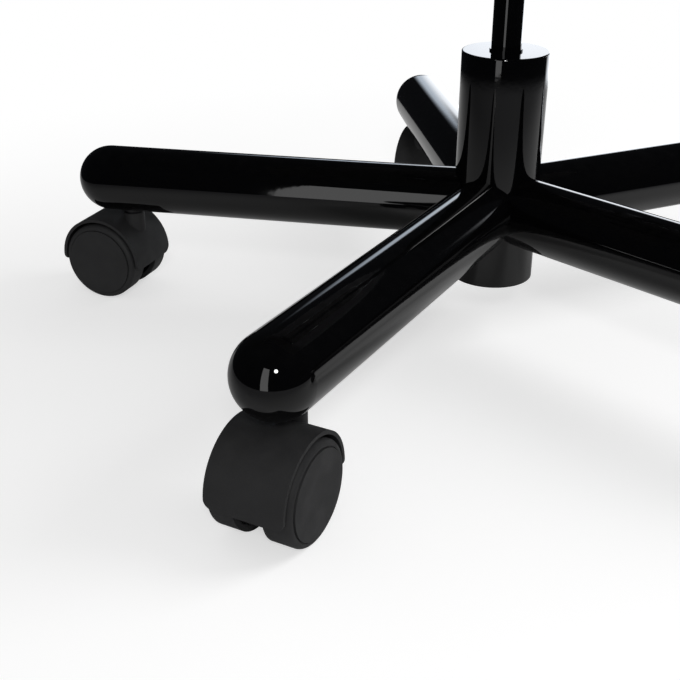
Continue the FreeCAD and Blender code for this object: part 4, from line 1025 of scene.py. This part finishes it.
# %% Build the piping tree
PIPING_RADIUS = 0.0024
PIPING_STEP = 0.003
PIPING_SIDES = 10


def new_tree(name, inputs):
    tree = bpy.data.node_groups.new(name, "GeometryNodeTree")
    tree.interface.new_socket("Line", in_out="INPUT", socket_type="NodeSocketGeometry")
    for label, kind in inputs.items():
        tree.interface.new_socket(label, in_out="INPUT", socket_type="NodeSocket" + kind)
    tree.interface.new_socket("Result", in_out="OUTPUT", socket_type="NodeSocketGeometry")
    return tree, tree.nodes.new("NodeGroupInput").outputs, tree.nodes.new("NodeGroupOutput").inputs


def even_curve(tree, given):
    """Start of a tree: its line as a curve with points at even steps."""
    curve = add_node(tree, "GeometryNodeMeshToCurve", {"Mesh": given["Line"]}).outputs[0]
    values = {"Curve": curve, "Length": given["Step"]}
    return add_node(tree, "GeometryNodeResampleCurve", values, mode="LENGTH").outputs[0]


def end_tree(tree, geometry, material, result):
    """End of a tree: real faces, smooth shading and their finish."""
    plain = add_node(tree, "GeometryNodeRealizeInstances", {"Geometry": geometry}).outputs[0]
    smooth = add_node(tree, "GeometryNodeSetShadeSmooth", {"Geometry": plain}).outputs[0]
    dressed = add_node(tree, "GeometryNodeSetMaterial", {"Geometry": smooth, "Material": material})
    tree.links.new(dressed.outputs[0], result["Result"])


def along_line(name, loop, tree, **values):
    """Run a tree on a closed line and keep the result as a plain mesh."""
    count = len(loop)
    line = bpy.data.meshes.new(name + "_line")
    line.from_pydata(loop, [(spot, (spot + 1) % count) for spot in range(count)], [])
    guide = add_object(name + "_guide", line)
    maker = guide.modifiers.new("maker", "NODES")
    maker.node_group = tree
    for item in tree.interface.items_tree:
        if item.in_out == "INPUT" and item.name in values:
            maker[item.identifier] = values[item.name]
    made = add_object(name, evaluated_mesh(guide))
    bpy.data.objects.remove(guide)
    return made


def make_piping_tree():
    tree, given, result = new_tree("piping", {"Radius": "Float", "Step": "Float", "Material": "Material"})
    ring_sizes = {"Resolution": PIPING_SIDES, "Radius": given["Radius"]}
    ring = add_node(tree, "GeometryNodeCurvePrimitiveCircle", ring_sizes).outputs[0]
    sweep = {"Curve": even_curve(tree, given), "Profile Curve": ring}
    cord = add_node(tree, "GeometryNodeCurveToMesh", sweep).outputs[0]
    end_tree(tree, cord, given["Material"], result)
    return tree


piping_tree = make_piping_tree()
piping_sizes = {"Radius": PIPING_RADIUS, "Step": PIPING_STEP, "Material": piping_cloth}
seat_piping = along_line("seat_piping", seat_seam, piping_tree, **piping_sizes)
back_piping = along_line("back_piping", back_seam, piping_tree, **piping_sizes)
print("piping faces:", len(seat_piping.data.polygons), "and", len(back_piping.data.polygons))

# %% [markdown]
# ## Top-stitching
# A row of stitches holds the seam's allowance flat, a finger's width inside the piping. Each stitch is a
# tiny drawn-out ball. The tree sets one at every step along the line, turns it along the line and lets it
# stray a little, always in the same way because its seed is fixed.

# %% Build the stitch tree
STITCH_STEP = 0.0050
STITCH_LENGTH = 0.0036
STITCH_WIDTH = 0.0011
STITCH_STRAY = 0.12
STITCH_SEED = 7
STITCH_SEGMENTS = 6
STITCH_RINGS = 5


def make_stitch_tree():
    inputs = {"Step": "Float", "Length": "Float", "Width": "Float", "Stray": "Float", "Seed": "Int",
              "Material": "Material"}
    tree, given, result = new_tree("top_stitches", inputs)
    ball_sizes = {"Segments": STITCH_SEGMENTS, "Rings": STITCH_RINGS, "Radius": 1 / 2}
    ball = add_node(tree, "GeometryNodeMeshUVSphere", ball_sizes).outputs[0]
    spans = {0: given["Length"], 1: given["Width"], 2: given["Width"]}
    sizes = add_node(tree, "ShaderNodeCombineXYZ", spans).outputs[0]
    stitch = add_node(tree, "GeometryNodeTransform", {"Geometry": ball, "Scale": sizes}).outputs[0]
    chance = add_node(tree, "FunctionNodeRandomValue", {"Seed": given["Seed"]}, data_type="FLOAT_VECTOR")
    chance.inputs[0].default_value = (-1, -1, -1)
    chance.inputs[1].default_value = (1, 1, 1)
    wander = {0: chance.outputs[0], "Scale": given["Stray"]}
    stray = add_node(tree, "ShaderNodeVectorMath", wander, operation="SCALE").outputs[0]
    tangent = add_node(tree, "GeometryNodeInputTangent").outputs[0]
    strayed = add_node(tree, "ShaderNodeVectorMath", {0: tangent, 1: stray}, operation="ADD").outputs[0]
    turn = add_node(tree, "FunctionNodeAlignRotationToVector", {"Vector": strayed}, axis="X").outputs[0]
    placed = {"Points": even_curve(tree, given), "Instance": stitch, "Rotation": turn}
    row = add_node(tree, "GeometryNodeInstanceOnPoints", placed).outputs[0]
    end_tree(tree, row, given["Material"], result)
    return tree


stitch_tree = make_stitch_tree()
stitch_sizes = {"Step": STITCH_STEP, "Length": STITCH_LENGTH, "Width": STITCH_WIDTH, "Stray": STITCH_STRAY,
                "Seed": STITCH_SEED, "Material": sewing_thread}
seat_stitches = along_line("seat_stitches", stitch_lines["seat_cover"], stitch_tree, **stitch_sizes)
back_stitches = along_line("back_stitches", stitch_lines["back_cover"], stitch_tree, **stitch_sizes)
print("stitch faces:", len(seat_stitches.data.polygons), "and", len(back_stitches.data.polygons))

# %% [markdown]
# ## Hand the pieces over
# Each sewn piece moves with the body that carries it. The covers stand for the cushion solids, which stay
# behind for collisions only.

# %% Attach the sewn pieces
for cover, node, body in ((seat_cover, "seat_cushion", "seat"), (back_cover, "back_pad", "backrest")):
    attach(cover, body)
    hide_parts(node)
for trim, body in ((seat_piping, "seat"), (seat_stitches, "seat"), (back_piping, "backrest"),
                   (back_stitches, "backrest")):
    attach(trim, body)
